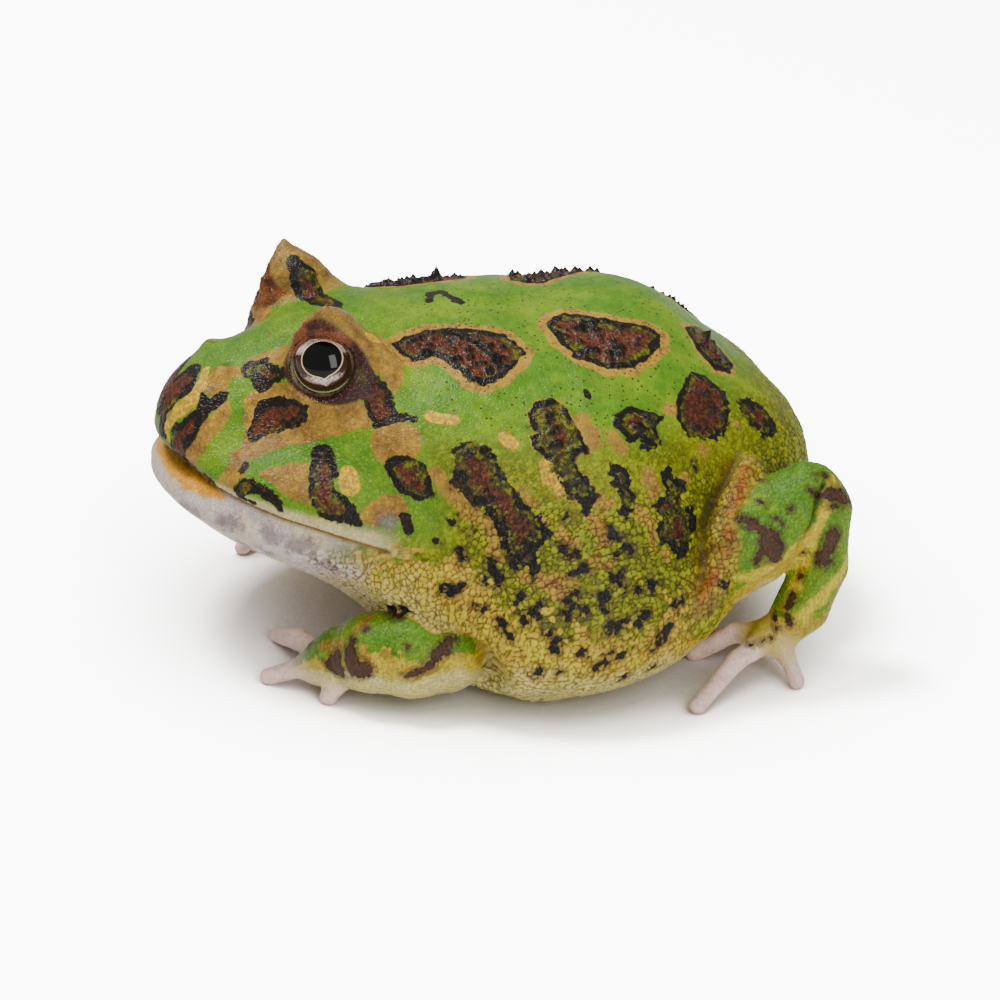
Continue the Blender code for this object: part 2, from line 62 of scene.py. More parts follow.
# Trunk and head, drawn for the right side and mirrored
TRUNK = (
    Ball((6.5, 0, 21.9), (31.5, 36, 22.5), 0, 0),
    Ball((6, 17, 13), (26.5, 25.5, 13), 0, 8),
    Ball((3.5, 23, 9), (19, 19, 9), 0, 6),
    Ball((-11, 0, 27.5), (20, 26, 17), 0, 9),
    Ball((19.5, 0, 31), (12, 19, 13), 12, 7),
    Ball((31, 5, 19.5), (14.5, 19, 14.5), 0, 8),
)
ARM_ROLL = Limb(((-18, 27, 17.5), (-9.5, 31.5, 16), (-3.5, 33, 10), (-0.5, 32.5, 4.5)),
                (3.2, 4.2, 4.6, 3.7), 2.5)
FLANK_FOLD = Limb(((31, 25.5, 26.5), (27.2, 31, 24), (24.8, 34.2, 20.5), (22.8, 35.8, 16),
                   (20.3, 36.8, 11)), (2.2, 2.4, 2.5, 2.4, 2.2), 2.2)
ARM_PIT = Limb(((-15.5, 35.5, 5.5), (-12.8, 36.5, 6)), (7, 7), 0)
PIT_ROUNDING = 1.5
HEAD = (
    Ball((-19.5, 0, 24.5), (24.6, 26.3, 8.5), 14, 0),
    Ball((-20, 0, 33), (16, 17, 13), 0, 6),
    Ball((-34.8, 0, 32), (9.6, 10, 9.0), 0, 5),
    Ball((-22.8, 11.2, 40.2), (6.8, 5.9, 6.2), 0, 3),
)
JAW = (
    Ball((-20.3, 0, 18.8), (26.2, 26.6, 6.6), 14, 0),
    Ball((-15, 0, 19), (20, 20, 8), 0, 6),
)
NECK_BLEND = 5.0

# Line of the mouth: level at the chin, then falling back to the corner
MOUTH_FRONT_Z = 27.7
MOUTH_CORNER = (-19.3, 21.7)
MOUTH_SLOPE = 0.283
MOUTH_BEND = 1.5
LIP_ROUNDING = 1.2
LIP_SET_BACK = 0.35       # of each lip from the mouth line
LIP_OVERLAP = 0.8         # of head and jaw behind the corner, where they are one
LIP_END_X, LIP_FADE = -18.0, 3.0
LIP_LIFT = 1.9            # how far the upper lip stands open over the chin
LIP_LIFT_START, LIP_LIFT_END = -33.0, -42.0

# Eyes, and the horned lids with the ridge that frames each eye
EYE_CENTRE = (-24.0, 11.7, 42.6)
EYE_RADIUS = 4.6
GAZE = (-0.33, 0.80, 0.505)
LID_OPENING_SHIFT = 2.6
LID_OPENING_DROP = 0.9
LID_OPENING_RADIUS = 4.6
LID_OPENING_ROUNDING = 0.6
LID = (
    Limb(((-22.8, 11, 42.5), (-23.2, 11.4, 46.2), (-23.8, 12.3, 48.4), (-24.2, 13.1, 50),
          (-24.3, 13.6, 51.4)), (5.8, 4, 2.3, 1, 0.35), 0),
    Limb(((-20, 12, 43.5), (-16.4, 14.8, 40.6)), (3, 2), 2.5),
    Limb(((-28.3, 12, 40.7), (-28.4, 11.4, 42.7), (-28.2, 11, 44.7), (-27.4, 11.1, 46.5),
          (-26.2, 11.8, 48.3), (-24.7, 12.8, 49.9), (-23.2, 13.2, 49.1), (-21.4, 14, 47.5),
          (-20.2, 14.7, 45.8), (-19.4, 15.5, 44), (-19.3, 15.7, 42.1)),
         (0.5, 0.55, 0.6, 0.6, 0.6, 0.5, 0.7, 0.9, 1, 1.1, 1), 1),
)

# Arm, drawn for the left side with Y outward; the right arm is set back and turned outward
RIGHT_ARM_BACK = 9.0
RIGHT_ARM_TURN = math.radians(32)
ARM_PIVOT = (-6, 29)
UPPER_ARM = (Limb(((-8, 20, 16), (-11, 28, 9.5)), (6.6, 5.6), 0.8),)
FOREARM = (Limb(((-12.6, 29.6, 7.2), (-17.1, 29.8, 7.5), (-22, 27.6, 6.9), (-25.6, 24.6, 5.4),
                 (-27.2, 23, 4.4)), (5.6, 5.9, 5.2, 4, 3.2), 1.2),)
WRIST = (-26.5, 22.6, 4.0)
PALM = Limb((WRIST, (-28.1, 22.0, 3.2)), (3.0, 2.6), 0)
FINGERS = (
    ((-27.0, 26.0, 2.0), (-27.9, 26.8, 0.9)),
    ((-30.2, 21.6, 3.2), (-34.4, 18.9, 0.9)),
    ((-29.0, 13.0, 3.0), (-30.6, 6.6, 0.9)),
    ((-24.5, 15.0, 2.6), (-21.0, 10.0, 0.9)),
)
FINGER_RADII = (1.7, 1.35, 1.15)

# Leg, drawn for the left side with Y outward
THIGH = (Limb(((31, 13, 14.5), (19, 25, 12.5)), (10.5, 7.5), 1.2),)
SHANK = (Limb(((19.5, 28.5, 12.5), (29, 30.8, 19.4), (37.6, 30.5, 24)), (6.6, 6.8, 4.9), 1.2),)
TARSUS = Limb(((39.8, 31.5, 22.6), (39.0, 33, 15), (36.2, 33.8, 9.5), (32.5, 34, 5.5)),
              (3.6, 3.6, 3.6, 2.6), 0)
TOE_ROOT = (32.6, 33.4, 5.6)
TOES = (
    ((33.5, 27.5, 3.4), (32.0, 22.6, 0.9)),
    ((30.5, 27.6, 3.6), (27.8, 23.2, 0.9)),
    ((28.2, 29.2, 4.4), (23.3, 27.0, 0.9)),
    ((26.0, 37.2, 4.4), (19.0, 42.2, 0.9)),
    ((33.4, 36.2, 3.6), (34.0, 38.8, 1.0)),
)
TOE_RADII = (2.1, 1.25, 1.1)
LIMB_BLEND = 0.8
LID_BLEND = 1.5

# Mesh of the skin: remesh cell, then how often each face is split
SKIN_CELL = 0.95
SKIN_SPLITS = 2

# Sizes of the relief, and how far a marking is felt
PEBBLE, PEBBLE_HEIGHT = 0.78, 0.17
FINE_PEBBLE, FINE_PEBBLE_HEIGHT = 0.58, 0.10
SPIKE_PITCH, SPIKE_HEIGHT = 1.5, 1.2
WART_HEIGHT = 0.45
MOUTH_GROOVE, MOUTH_GROOVE_WIDTH = 0.6, 0.3
LID_RIM_HEIGHT = 0.25
NOSTRIL_RISE, NOSTRIL_RISE_WIDTH = 0.9, 1.5
NOSTRIL_DEPTH, NOSTRIL_WIDTH = 1.1, 0.55
FLOOR_EASE = 0.8          # height over the floor in which the relief fades in
FLAT_TOP = 0.02           # below this, the flats that the frog rests on stay as they are
BORDER = 0.80             # width of a patch's black border
JAG = 1.1                 # how far one pebble pushes the edge of a marking
MARK_REACH = 4.0

# Bordered patches of the left side. Each is drawn on the plane that touches the skin at its
# centre, with the first number tailward and the second uphill, and has a tan halo so wide and
# a core so red.
Patch = namedtuple("Patch", "centre outline halo red")
PATCHES = {
    "shoulder bean": Patch((-6.1, -13.9, 43.4), (
        (-8.7, 2.8), (-6.9, 4.2), (-3.7, 5.4), (0, 5.2), (3.6, 4.2), (6.8, 2.9), (8.6, -1.4),
        (6.9, -3.5), (4.2, -5.8), (1.4, -6.9), (-0.4, -5.7), (-1.8, -2.5), (-3.5, -0.2),
        (-6.5, -0.6), (-8.2, 1.2)), 1.3, 0.5),
    "back bean": Patch((14.4, -12.6, 43.0), (
        (-7.3, 3.5), (-5.8, 5.9), (-3.8, 6.6), (-0.8, 4.8), (2.8, 2.5), (6.1, 1.6), (8.1, 0.2),
        (7.0, -2.5), (4.6, -4.9), (1.7, -6.6), (-1.5, -6.5), (-4.5, -4.0), (-6.6, -0.7)), 1.3, 0.4),
    "rump bar": Patch((30.6, -9.6, 38.2), (
        (-4.4, 2.3), (0.6, 5.9), (2.2, 3.2), (3.5, -1.3), (2.2, -3.6), (-0.8, -4.5),
        (-3.4, -1.9)), 0.6, 0.3),
    "hind rosette": Patch((25.8, -21.0, 34.7), (
        (-4.2, 1.4), (-0.6, 5.4), (2.2, 5.4), (4.7, 3.4), (5.0, 0.3), (3.3, -3.0), (-0.6, -5.1),
        (-4.3, -5.1), (-5.5, -2.6)), 0, 0.5),
    "snout": Patch((-41.7, -7.6, 34.3), (
        (2, 3.9), (3.1, 2.6), (3.9, 3.2), (5.5, 3), (5.1, 1.9), (3.7, 1), (2.3, 0.2), (1.1, -0.8),
        (0.2, -2.1), (-1, -2.7), (-2.2, -3.8), (-5.4, -3.4), (-6.6, -2.4), (-4.9, -2),
        (-4.4, -0.6), (-3.1, 0.3), (-0.6, 1), (0.9, 1.6)), 0, 0.8),
    "under the eye": Patch((-31.3, -12.9, 35.9), (
        (-4.2, -1), (-3.3, 0.6), (-2.6, 1.9), (-1.7, 3.1), (-0.1, 3.1), (1.6, 2.6), (3.5, 1.5),
        (5.3, 0), (4.7, -0.7), (3.6, -1.2), (2.2, -1.5), (-0.3, -2), (-2.1, -2.1), (-3.3, -2.5),
        (-4.2, -1.9)), 0.3, 0.9),
    "before the eye": Patch((-31.3, -8.6, 40.1), (
        (-2.9, 2.8), (-1.4, 3.2), (0, 2.9), (1.5, 1.4), (3.6, -1.4), (3.5, -2.5), (1.7, -1.8),
        (0.4, -1.3), (-0.6, -1.8), (-1.8, -1.7), (-2.1, -0.6), (-2.4, 0.7)), 0, 0.45),
    "cheek": Patch((-26.3, -22.7, 29.9), (
        (-1.8, 4), (-1.2, 5.7), (-0.1, 6.1), (0.8, 5.6), (1.3, 4.6), (1.4, 2.8), (1.4, 1.3),
        (0.6, 0.2), (0.8, -1.1), (2, -2.2), (2.8, -3.7), (3.2, -5.8), (2.1, -5.5), (0.8, -5),
        (-0.8, -4.7), (-2, -3.7), (-2.8, -2.1), (-3, -0.3), (-2.4, 0.9), (-2.2, 2.5)), 0, 0.6),
    "lip": Patch((-35.4, -20, 28.3), (
        (-2.6, 2.3), (-1.6, 2.5), (-0.4, 2.1), (1.1, 1.1), (2.3, 0.3), (3.2, -1), (3.4, -2.5),
        (2.7, -2.3), (2.3, -1.3), (1.3, -0.7), (-0.1, 0.2), (-1.8, 0), (-0.3, -0.9), (-2, -0.7),
        (-3.2, 0.1), (-3.5, 1)), 0, 0.7),
    "behind the eye": Patch((-18.2, -18.6, 39.2), (
        (-0.8, 3.8), (0.3, 3.5), (0.9, 2.4), (1.5, 0.9), (1.4, 0), (1.9, -1.7), (3.2, -2.6),
        (2, -3.1), (0.3, -3), (-1.3, -3.4), (-1.8, -1.5), (-2.4, 0.8), (-2.9, 1.4), (-1.6, 2.3)),
        0, 0.95),
    "shoulder band": Patch((-5.5, -32, 28.5), (
        (-5.1, 8.4), (-3.3, 9.3), (-1.2, 8), (-0.1, 7.7), (0.4, 5.7), (1.2, 3.6), (2.4, 2.2),
        (3.1, -0.1), (4.9, -1.8), (6, -4.4), (5.1, -5.8), (3.6, -5.8), (4.2, -8.6), (3, -10.4),
        (2.6, -8.4), (0.7, -7.6), (-0.3, -5.5), (-0.5, -3.5), (-1.5, -1.4), (-2.7, 0.4),
        (-4.6, 2.4), (-6.2, 3.4), (-5.2, 5.4), (-5.4, 7.4)), 0, 0.38),
    "side bar": Patch((3.6, -29.7, 34.5), (
        (-3.7, 5.9), (-2.4, 7.5), (-0.3, 7.8), (1.5, 7), (2.2, 4.5), (2.7, 3), (3.3, -0.7),
        (1.9, -0.8), (1.4, -2), (1.8, -3.6), (3.5, -5.5), (3.5, -6.7), (1.7, -8.7), (0.6, -7.4),
        (-0.9, -6.2), (-1.3, -3.2), (-2.2, -1.2), (-3.8, 0.9), (-3.6, 2.5), (-2.6, 2.9),
        (-3.5, 4.4)), 0.2, 0.22),
    "side ring": Patch((15, -27.3, 35.2), (
        (-3.4, 2.3), (-0.4, 3.6), (1.9, 2.9), (4.2, 2.2), (2.3, 0.3), (2.5, -1.9), (1.6, -3.1),
        (-0.4, -2.8), (-0.3, -1.2), (-2.1, -2), (-2.6, -0.6), (-3.7, 0.5)), 0, 0.35),
    "side drop": Patch((10.6, -33.5, 29.8), (
        (-1.6, 2.6), (-0.3, 3.6), (0.9, 2.9), (1.4, 1.6), (1.2, -0.1), (1.8, -1.7), (1, -2.8),
        (0, -3.8), (-1.2, -3.2), (-0.4, -1.5), (-0.9, 0.5), (-1.6, 1.6)), 0, 0.1),
    "hind cluster": Patch((17.8, -33.7, 25.9), (
        (-1.4, 5), (0.3, 5.6), (0.5, 4.1), (2.3, 3.5), (2.7, 2.3), (1, 1.8), (1, 0.4), (3.3, 0),
        (3.3, -1.7), (2.3, -3.7), (1.7, -5.1), (-0.4, -6.2), (-1.7, -4.9), (-3.3, -3.8),
        (-3.6, -2.1), (-2.6, -0.9), (-3.4, 0.4), (-2.4, 1.8), (-0.5, 2.4)), 0, 0.3),
}

# Tan areas of the left side, drawn in the same way
TAN_PATCHES = {
    "brow": Patch((-29.5, -7.7, 42.2), (
        (-4.3, 2.4), (-2.6, 3.1), (-0.4, 2.6), (1.6, 2.2), (4.5, -3.2), (3.9, -2.7), (2, -3.3),
        (0.7, -4.1), (-0.9, -0.2), (-1.8, 1.6), (-3, 2.2)), 0, 0),
    "below the eye": Patch((-31.1, -14.9, 34), (
        (-3.4, 6.7), (-2.1, 7.3), (0.3, 7.5), (3.1, 5.8), (4.7, 5.2), (5.1, 4.3), (8.1, 2),
        (11.3, 1.3), (12.1, 0.3), (12.7, -1.2), (12.3, -2.3), (9.7, -2.1), (6.4, -2), (3.7, -1.9),
        (0.8, -1.3), (-2, -1.5), (-4.4, -2.2), (-5.4, -3.3), (-5.3, -4.6), (-6.3, -4.8),
        (-7, -5.9), (-9.7, -4.3), (-9.4, -3.4), (-8.1, -2.8), (-7, -2), (-6.6, -0.5), (-4.9, 0.7),
        (-4.4, 2.1), (-4.3, 3.9)), 0, 0),
    "nostril": Patch((-37.1, -6, 39.3), (
        (-1.5, 1.2), (-0.1, 1.9), (2.4, 1.3), (2.5, 0), (1.1, 0.1), (0, -1.9), (-1.8, -1.9),
        (-2.5, -0.9)), 0, 0),
    "snout band": Patch((-40.9, -9.5, 33), (
        (4.5, 3.8), (4.5, 2.2), (3.1, 0.7), (1.4, -0.6), (0.2, -2.1), (-1.9, -3.1), (-3.1, -3.5),
        (-4.3, -2.8), (-5.8, -1.1), (-2.1, -0.8), (-0.8, 0.1), (0.1, 1.3), (1.4, 2.3),
        (3.1, 3.2)), 0, 0),
    "above the lip": Patch((-31.1, -21.1, 30), (
        (-3.6, 2.4), (-2.1, 2.8), (0.1, 2.8), (2.7, 2.5), (2.1, -0.4), (2, -1.9), (2.1, -3.4),
        (1.3, -2.9), (-0.2, -2), (-1.4, -0.8), (-2.5, 0.8)), 0, 0),
    "mouth corner": Patch((-20.1, -26.7, 27.2), (
        (-2.7, 0.4), (-1.2, 1.3), (0.5, 2), (2.7, 1.5), (3.3, 0.3), (2.5, -1), (0.6, -0.5),
        (-0.7, -1.8), (-2.1, -1.6), (-3, -0.4)), 0, 0),
    "behind the lid": Patch((-16.7, -15.1, 43.7), (
        (-3, 3.1), (1.3, 5.2), (2.4, 3), (2.4, -0.5), (1.7, -3.1), (0.6, -5.1), (-0.6, -2.4),
        (-2.2, -1.1), (-3, 1)), 0, 0),
}

# Other markings of the left side, as strokes along the skin: places, then half widths
ROUND_PATCHES = (
    (((33.9, -17.8, 31.7), (34.9, -18.2, 30.7)), 2.4),
    (((-17.5, -24.8, 32.4), (-16.2, -26.1, 31.4), (-15.1, -27.2, 30.3)), (1.6, 2.3, 1.9)),
)
YELLOW_STROKES = (
    (((-13.5, 2.2, 46.1),), 0.6),
    (((-1.4, 1.5, 45.4),), 0.27),
    (((4.3, 2.4, 44.9),), 0.6),
    (((-18.4, -12.9, 46.4), (-17.2, -11.9, 45.5)), 0.8),
    (((-23.7, -22.4, 31.0), (-23.8, -23.7, 29.8)), (1.2, 1.4)),
    (((-12.5, -22.4, 38), (-9.8, -23.6, 37.7)), 0.8),
    (((-3.7, -26.8, 36), (-2.7, -27.8, 35.2)), 0.8),
    (((0.9, -30.6, 33.1), (1.3, -31.9, 31.7), (2.2, -33, 30.5)), 0.9),
)
SNOUT_STRIPE = (((-38.7, -3.1, 39.9), (-39.8, -5, 38.4), (-41, -5.8, 36.9), (-42.7, -5.1, 35.4),
                 (-43.9, -4.2, 33.8), (-44.4, -3.9, 32.4), (-44.3, -5.2, 30.7)),
                (0.6, 0.8, 1.05, 1.1, 0.85, 0.6, 0.3))
TAN_STROKES = (
    (((-18, -22.8, 35), (-16.7, -23.3, 35.1)), 2.6),
    (((-2.7, -31.8, 30.3), (-2, -32.8, 29.3), (-1.4, -33.5, 28.5)), 0.5),
    (((-0.9, -34.4, 27.2), (-0.3, -35, 26.6)), 0.6),
    (((1.4, -36.1, 25.3), (2.7, -36.8, 24.4), (3.3, -37.3, 23.8)), 0.5),
    (((6, -35.6, 26.9), (6.6, -36.3, 25.8), (6.9, -37.1, 24.3)), 0.8),
    (((7.3, -34.7, 28.5), (8.3, -34.7, 28.4)), 0.8),
    (((5, -38.5, 22), (7.4, -38.7, 21.5)), 0.7),
    (((0.9, -30.6, 33.1), (1.3, -31.9, 31.7), (2.2, -33, 30.5)), 0.9),
    (((7, -26.6, 37.1), (7.8, -28.3, 35.8), (7.7, -29.5, 34.8)), 1.1),
    (((10.6, -28.5, 35.3), (11.4, -29.9, 34)), 0.8),
    (((14.9, -31.9, 30.4), (15.2, -32.9, 29), (14.5, -33.6, 28.3)), 1),
    (((20, -30.7, 28.8),), 0.8),
    (((15.5, -37.2, 21.4),), 0.7),
    (((12.5, -34.9, 26.9), (13.9, -35.7, 25), (13.9, -36.7, 23.3)), 0.7),
    (((20, -23.5, 36), (21.4, -23.3, 35.5)), 0.9),
    (((24.2, -26.2, 30.8),), 0.9),
    (((-13.3, -27.2, 31.9), (-10.6, -29.6, 29.4), (-9.3, -30.9, 27.7), (-7, -32.8, 25.9),
      (-6.1, -34, 24.5), (-6.9, -34.5, 22.9)), 1),
    (((-3.5, -37.6, 20.5), (-0.7, -38.9, 19.9), (1.4, -39.5, 19.7), (0.3, -40.1, 18.5)), 1),
    (((-3.7, -26.8, 36), (-2.7, -27.8, 35.2)), 0.8),
    (((-12.5, -22.4, 38), (-9.8, -23.6, 37.7)), 0.7),
    (((-24.5, -29.2, 11.3), (-22.9, -28.3, 12.1), (-20, -24.5, 11.5)), 0.4),
    (((-28.2, -26.3, 8.2), (-26.6, -28.5, 9.3)), (0.7, 0.8)),
    (((-24.1, -31.5, 9.9), (-23.5, -32.6, 8.4)), (0.6, 0.5)),
)
LIMB_YELLOW = (
    (((39.7, -33.5, 27.2), (41.3, -32.9, 26.3)), 0.5),
    (((30, -37.3, 21.6),), 0.4),
    (((40.4, -32.7, 27.4), (38.7, -34.8, 26), (38.1, -35.4, 23.7), (37.1, -35.5, 21.3),
      (36.4, -34.9, 18.9), (35.9, -34.4, 16.1), (34.5, -35, 13), (33.4, -35.7, 10.9)),
     (0.5, 0.6, 0.7, 0.8, 0.9, 0.9, 0.9, 0.9)),
    (((42.3, -34.7, 16.3), (40.4, -36.5, 14.7), (37.4, -37.1, 11.9), (34.9, -37.3, 9.7)),
     (0.5, 0.6, 0.7, 0.8)),
    (((22.6, -38.4, 16.4), (26.9, -36.9, 16.4), (29.8, -37.5, 17.8), (32.6, -36.7, 18.9),
      (33.9, -36.3, 20)), (0.5, 0.5, 0.4, 0.35, 0.2)),
)
DARK_STROKES = (
    (((-40.8, -9.8, 27.5), (-40.4, -11.5, 27.7), (-40, -13.3, 27.8)), (0.8, 1, 0.8)),
    (((-17.4, -27.9, 26.3), (-17, -28.4, 24.9)), 0.8),
    (((-19, -17, 42.5), (-17.6, -17.3, 41), (-16.8, -18.4, 39.8)), 0.5),
    (((-19.4, -20.3, 36.7), (-17.6, -20.6, 37.3), (-16, -21, 37.7), (-14.5, -22, 37.5)),
     (0.5, 0.6, 0.6, 0.5)),
    (((-28, -15.2, 37.9), (-28.1, -15.3, 37), (-29.1, -14.7, 36), (-30.4, -13.9, 35.5)),
     (0.6, 0.7, 0.7, 0.5)),
    (((-36.8, -16.9, 30.5), (-36.1, -16.3, 31.4)), 0.4),
    (((-30.9, -6.2, 41.6), (-32.6, -5.8, 41.1)), 0.5),
    (((-32.7, -7.7, 40), (-31.9, -9.2, 39.3)), 0.9),
    (((-12.6, -11.1, 44.2), (-9.5, -9.9, 44.5), (-6.8, -9.9, 44.5), (-4.5, -11.7, 44.1),
      (-2.7, -14, 43.4), (-1.9, -16.3, 42.5), (-3.3, -18.3, 41.7)),
     (0.5, 0.6, 0.6, 0.6, 0.7, 0.7, 0.5)),
    (((12.6, -9.7, 43.8), (12.1, -10.5, 43.6)), 1),
    (((10.8, -15, 42.2), (9.7, -15.9, 42)), 0.8),
    (((9.1, -11.5, 43.2),), 0.5),
    (((14.7, -15.2, 42.1), (14.5, -16.8, 41.4)), 0.7),
    (((-8.5, -14.5, 43.1), (-7.4, -16.6, 42.3)), 0.6),
    (((8.7, -22.5, 39.4), (8.9, -23.3, 39)), 0.4),
    (((-19.3, -27.7, 13.3), (-18.8, -29.8, 13.3), (-17.8, -30.4, 14.1)), (0.6, 0.7, 0.5)),
    (((-25.2, -29.9, 10.5), (-25.7, -30.7, 9)), (0.6, 0.9)),
    (((-25.7, -30.9, 8.6), (-25, -31.9, 7.2), (-23.9, -32.6, 7.2)), (1, 1.3, 1)),
    (((-27.2, -28.8, 7.9), (-27.6, -28.5, 6.5), (-26.8, -29.8, 5.9)), (0.8, 1, 0.9)),
    (((-13, -34, 10.8), (-13.9, -34.6, 10.1), (-15, -35.2, 9.3)), (0.7, 0.8, 0.7)),
    (((-15.7, -35.6, 8.4), (-18, -35.8, 7.5), (-19.3, -35.4, 7)), (0.5, 0.5, 0.31)),
    (((-18.6, -34.5, 11),), 0.29),
    (((-29.2, -22.5, 6.9),), 0.5),
    (((-23.3, -29.7, 11.7),), 0.24),
    (((-21.5, -33.5, 9.6),), 0.31),
    (((26.6, -35.2, 24.2), (27.8, -36.1, 23.6), (29.4, -36.7, 22.9)), (0.5, 0.6, 0.6)),
    (((30.1, -37.2, 21.5), (30.9, -37.4, 20)), (1.7, 1.4)),
    (((28.7, -37.7, 20.4), (28.5, -37.7, 19.1)), (0.6, 0.4)),
    (((31, -29.3, 26.9), (31.7, -30.4, 27.2)), 0.15),
    (((38, -33.1, 28.2), (39.2, -32.8, 28)), 0.32),
    (((36.7, -34.3, 26.9),), 0.32),
    (((33.4, -35.4, 25),), 0.27),
    (((31.2, -35.8, 24.2), (32, -36.3, 23.2)), 0.2),
    (((29.6, -33.6, 25.9), (30.1, -34.4, 25.5)), 0.2),
    (((37.9, -35, 26), (39.4, -34.5, 26.1), (41.4, -33.8, 25.4), (42.4, -33.4, 24.4)),
     (0.6, 0.9, 1, 0.6)),
    (((39.2, -35.2, 24.7), (40.7, -34.8, 24.3)), 0.17),
    (((39.5, -35.6, 20.3), (39, -35.8, 19)), 1.1),
    (((38.2, -36.1, 17.4),), 1.1),
    (((35.4, -35.1, 14.8),), 0.5),
    (((34, -35.6, 12.1), (33.4, -35.9, 10.9)), (0.7, 0.6)),
    (((35.9, -34.6, 17.9),), 0.3),
    (((32, -35.1, 9), (31.9, -36, 7.8)), 0.25),
    (((33.3, -36.2, 9.9), (33.5, -36.7, 8.7)), 0.3),
    (((28.1, -36.6, 6.2), (30.9, -36.2, 6.5)), 0.25),
    (((23, -38.2, 16.9), (24, -38, 16.4)), 0.5),
    (((22.3, -28.5, 29.7),), 0.4),
    (((8.3, -36.3, 25.6), (8.4, -36.9, 24.6)), 0.5),
    (((9.4, -37.3, 23.8), (10.3, -37.6, 23)), 0.6),
    (((8, -38.1, 22.5), (8.4, -38.1, 22.6)), 0.6),
    (((7.2, -39.6, 20.1), (8.2, -39.9, 19.5), (8.5, -40.5, 18.7)), 0.5),
    (((8.2, -39.9, 19.5), (8.8, -39.3, 20.4)), 0.5),
    (((10.9, -40.4, 18.2),), 0.5),
    (((13, -39.6, 18.7), (12.6, -40.1, 18)), 0.6),
    (((16.8, -39.9, 15.7), (16.2, -40.3, 15.3)), 0.6),
    (((1.5, -37, 23.8), (2.2, -37.6, 23), (3.2, -37.6, 23.1)), 0.7),
    (((2.4, -38.8, 21.1), (4.1, -38.8, 21.3)), 0.5),
    (((-8.8, -35.8, 19.6),), 0.6),
    (((-7.8, -34.7, 21.8), (-7.2, -35.5, 21)), 0.7),
    (((-6.9, -36.7, 19.4), (-6.5, -36.4, 20.3)), 0.6),
    (((-11.2, -32.1, 22.4), (-11.1, -32.7, 21.6)), 0.7),
    (((-13.6, -30.1, 23.8),), 0.6),
    (((-11.5, -30.4, 26.3),), 0.7),
    (((-9.6, -31.9, 25.3),), 0.6),
    (((-13.6, -33.7, 18.3), (-12.1, -34.9, 18.4), (-11.4, -35.1, 18.9)), 0.5),
    (((-10.1, -36.8, 17), (-9.2, -37.4, 16.5)), 0.5),
    (((-7.8, -38.9, 15.4), (-7.1, -39.7, 14.4), (-6.5, -40.3, 13.7)), 0.5),
    (((-4.5, -38.7, 18.4), (-5.2, -39, 17.5)), 0.6),
    (((-2.8, -40.1, 17.3), (-3.1, -40.6, 16.2), (-4.6, -40.5, 15.5)), 0.6),
    (((2.2, -40.4, 18.6), (1.1, -40.6, 18.1)), 0.6),
    (((2.4, -41.4, 17.2), (3.1, -41.7, 16.7)), 0.7),
    (((0.8, -41.8, 16.1),), 0.6),
    (((5.8, -40.9, 18.2), (5.8, -41.7, 16.9)), 0.8),
    (((8.1, -42.6, 14.9), (6.5, -42.9, 14.2)), 0.7),
    (((11.6, -41.9, 15.2), (10.2, -42.3, 14.7)), 0.7),
    (((14.9, -41.4, 12.9), (14, -41.8, 11.9), (12.4, -42.2, 10.4)), 0.6),
    (((-2, -42, 14), (-1.1, -42.5, 12.8), (-0.9, -42.7, 11.8)), 0.7),
    (((2.5, -43.3, 11.3),), 0.5),
    (((4.5, -43.3, 9.2), (5.9, -43.4, 10.2), (7.7, -43.2, 10.7)), 0.6),
    (((-3.6, -41.7, 8.4), (-2.7, -42.1, 8.9)), 0.5),
    (((-0.6, -42.7, 8.8),), 0.5),
    (((8.7, -41.6, 6.3),), 0.7),
    (((13, -40.7, 6.8),), 0.4),
    (((-3.9, -36.1, 22.7), (-4.5, -36.3, 21.9)), 0.6),
    (((-9.8, -28.5, 32), (-10, -28.9, 31.2)), 0.8),
    (((-11.2, -28.7, 30.7),), 0.4),
    (((-8.1, -30.9, 28.8), (-7.7, -30.9, 29)), 0.6),
    (((2.6, -35.1, 27.4),), 0.4),
)
# A crooked mark on the nape, on one side of the midline
NAPE_MARK = (
    (((-7.3, -1, 45.7), (-6.3, 2.4, 45.6), (-4.6, 3, 45.5), (-4.1, 0.8, 45.6)),
     (0.4, 0.55, 0.6, 0.6)),
    (((-3.9, 0, 45.6), (-3.3, -1.6, 45.5), (-2.6, -2.2, 45.5)), (0.6, 0.7, 0.4)),
)
LID_BAR = (((-23.7, 9.6, 48.9), (-22.9, 8.2, 47.4), (-22.3, 6.7, 46.0), (-21.4, 2.9, 46.0),
            (-19.6, -1.2, 46.2)), (1.2, 1.8, 1.8, 1.4, 1.1))
# A bar over the tip of the snout, beside the yellow stripe
SNOUT_BAR = (
    (((-40.5, -1.6, 39.1), (-42.0, -2.5, 37.5), (-43.2, -3.0, 35.6), (-44.1, -3.2, 33.8),
      (-44.6, -2.9, 32.2)), (1.5, 2.5, 2.8, 2.5, 1.6)),
    (((-44.4, 0.2, 34.2), (-43.4, 1.6, 36.3), (-41.5, 3.6, 38.2), (-38.8, 5.6, 39.4)),
     (1.6, 2.4, 2.4, 1.4)),
)
BROW_MARKS = (((-33.2, 6.4, 40.9), (-31.0, 8.8, 41.5)), 1.4)
ORANGE_SHELF = (((-43.4, 0, 27.3), (-43.4, -2.5, 27.3), (-43.1, -5.3, 27.1), (-42.4, -9.3, 26.7),
                 (-40.9, -12.4, 26.5), (-38.6, -15.5, 26.2)), (1.8, 1.8, 1.7, 1.4, 1.0, 0.4))
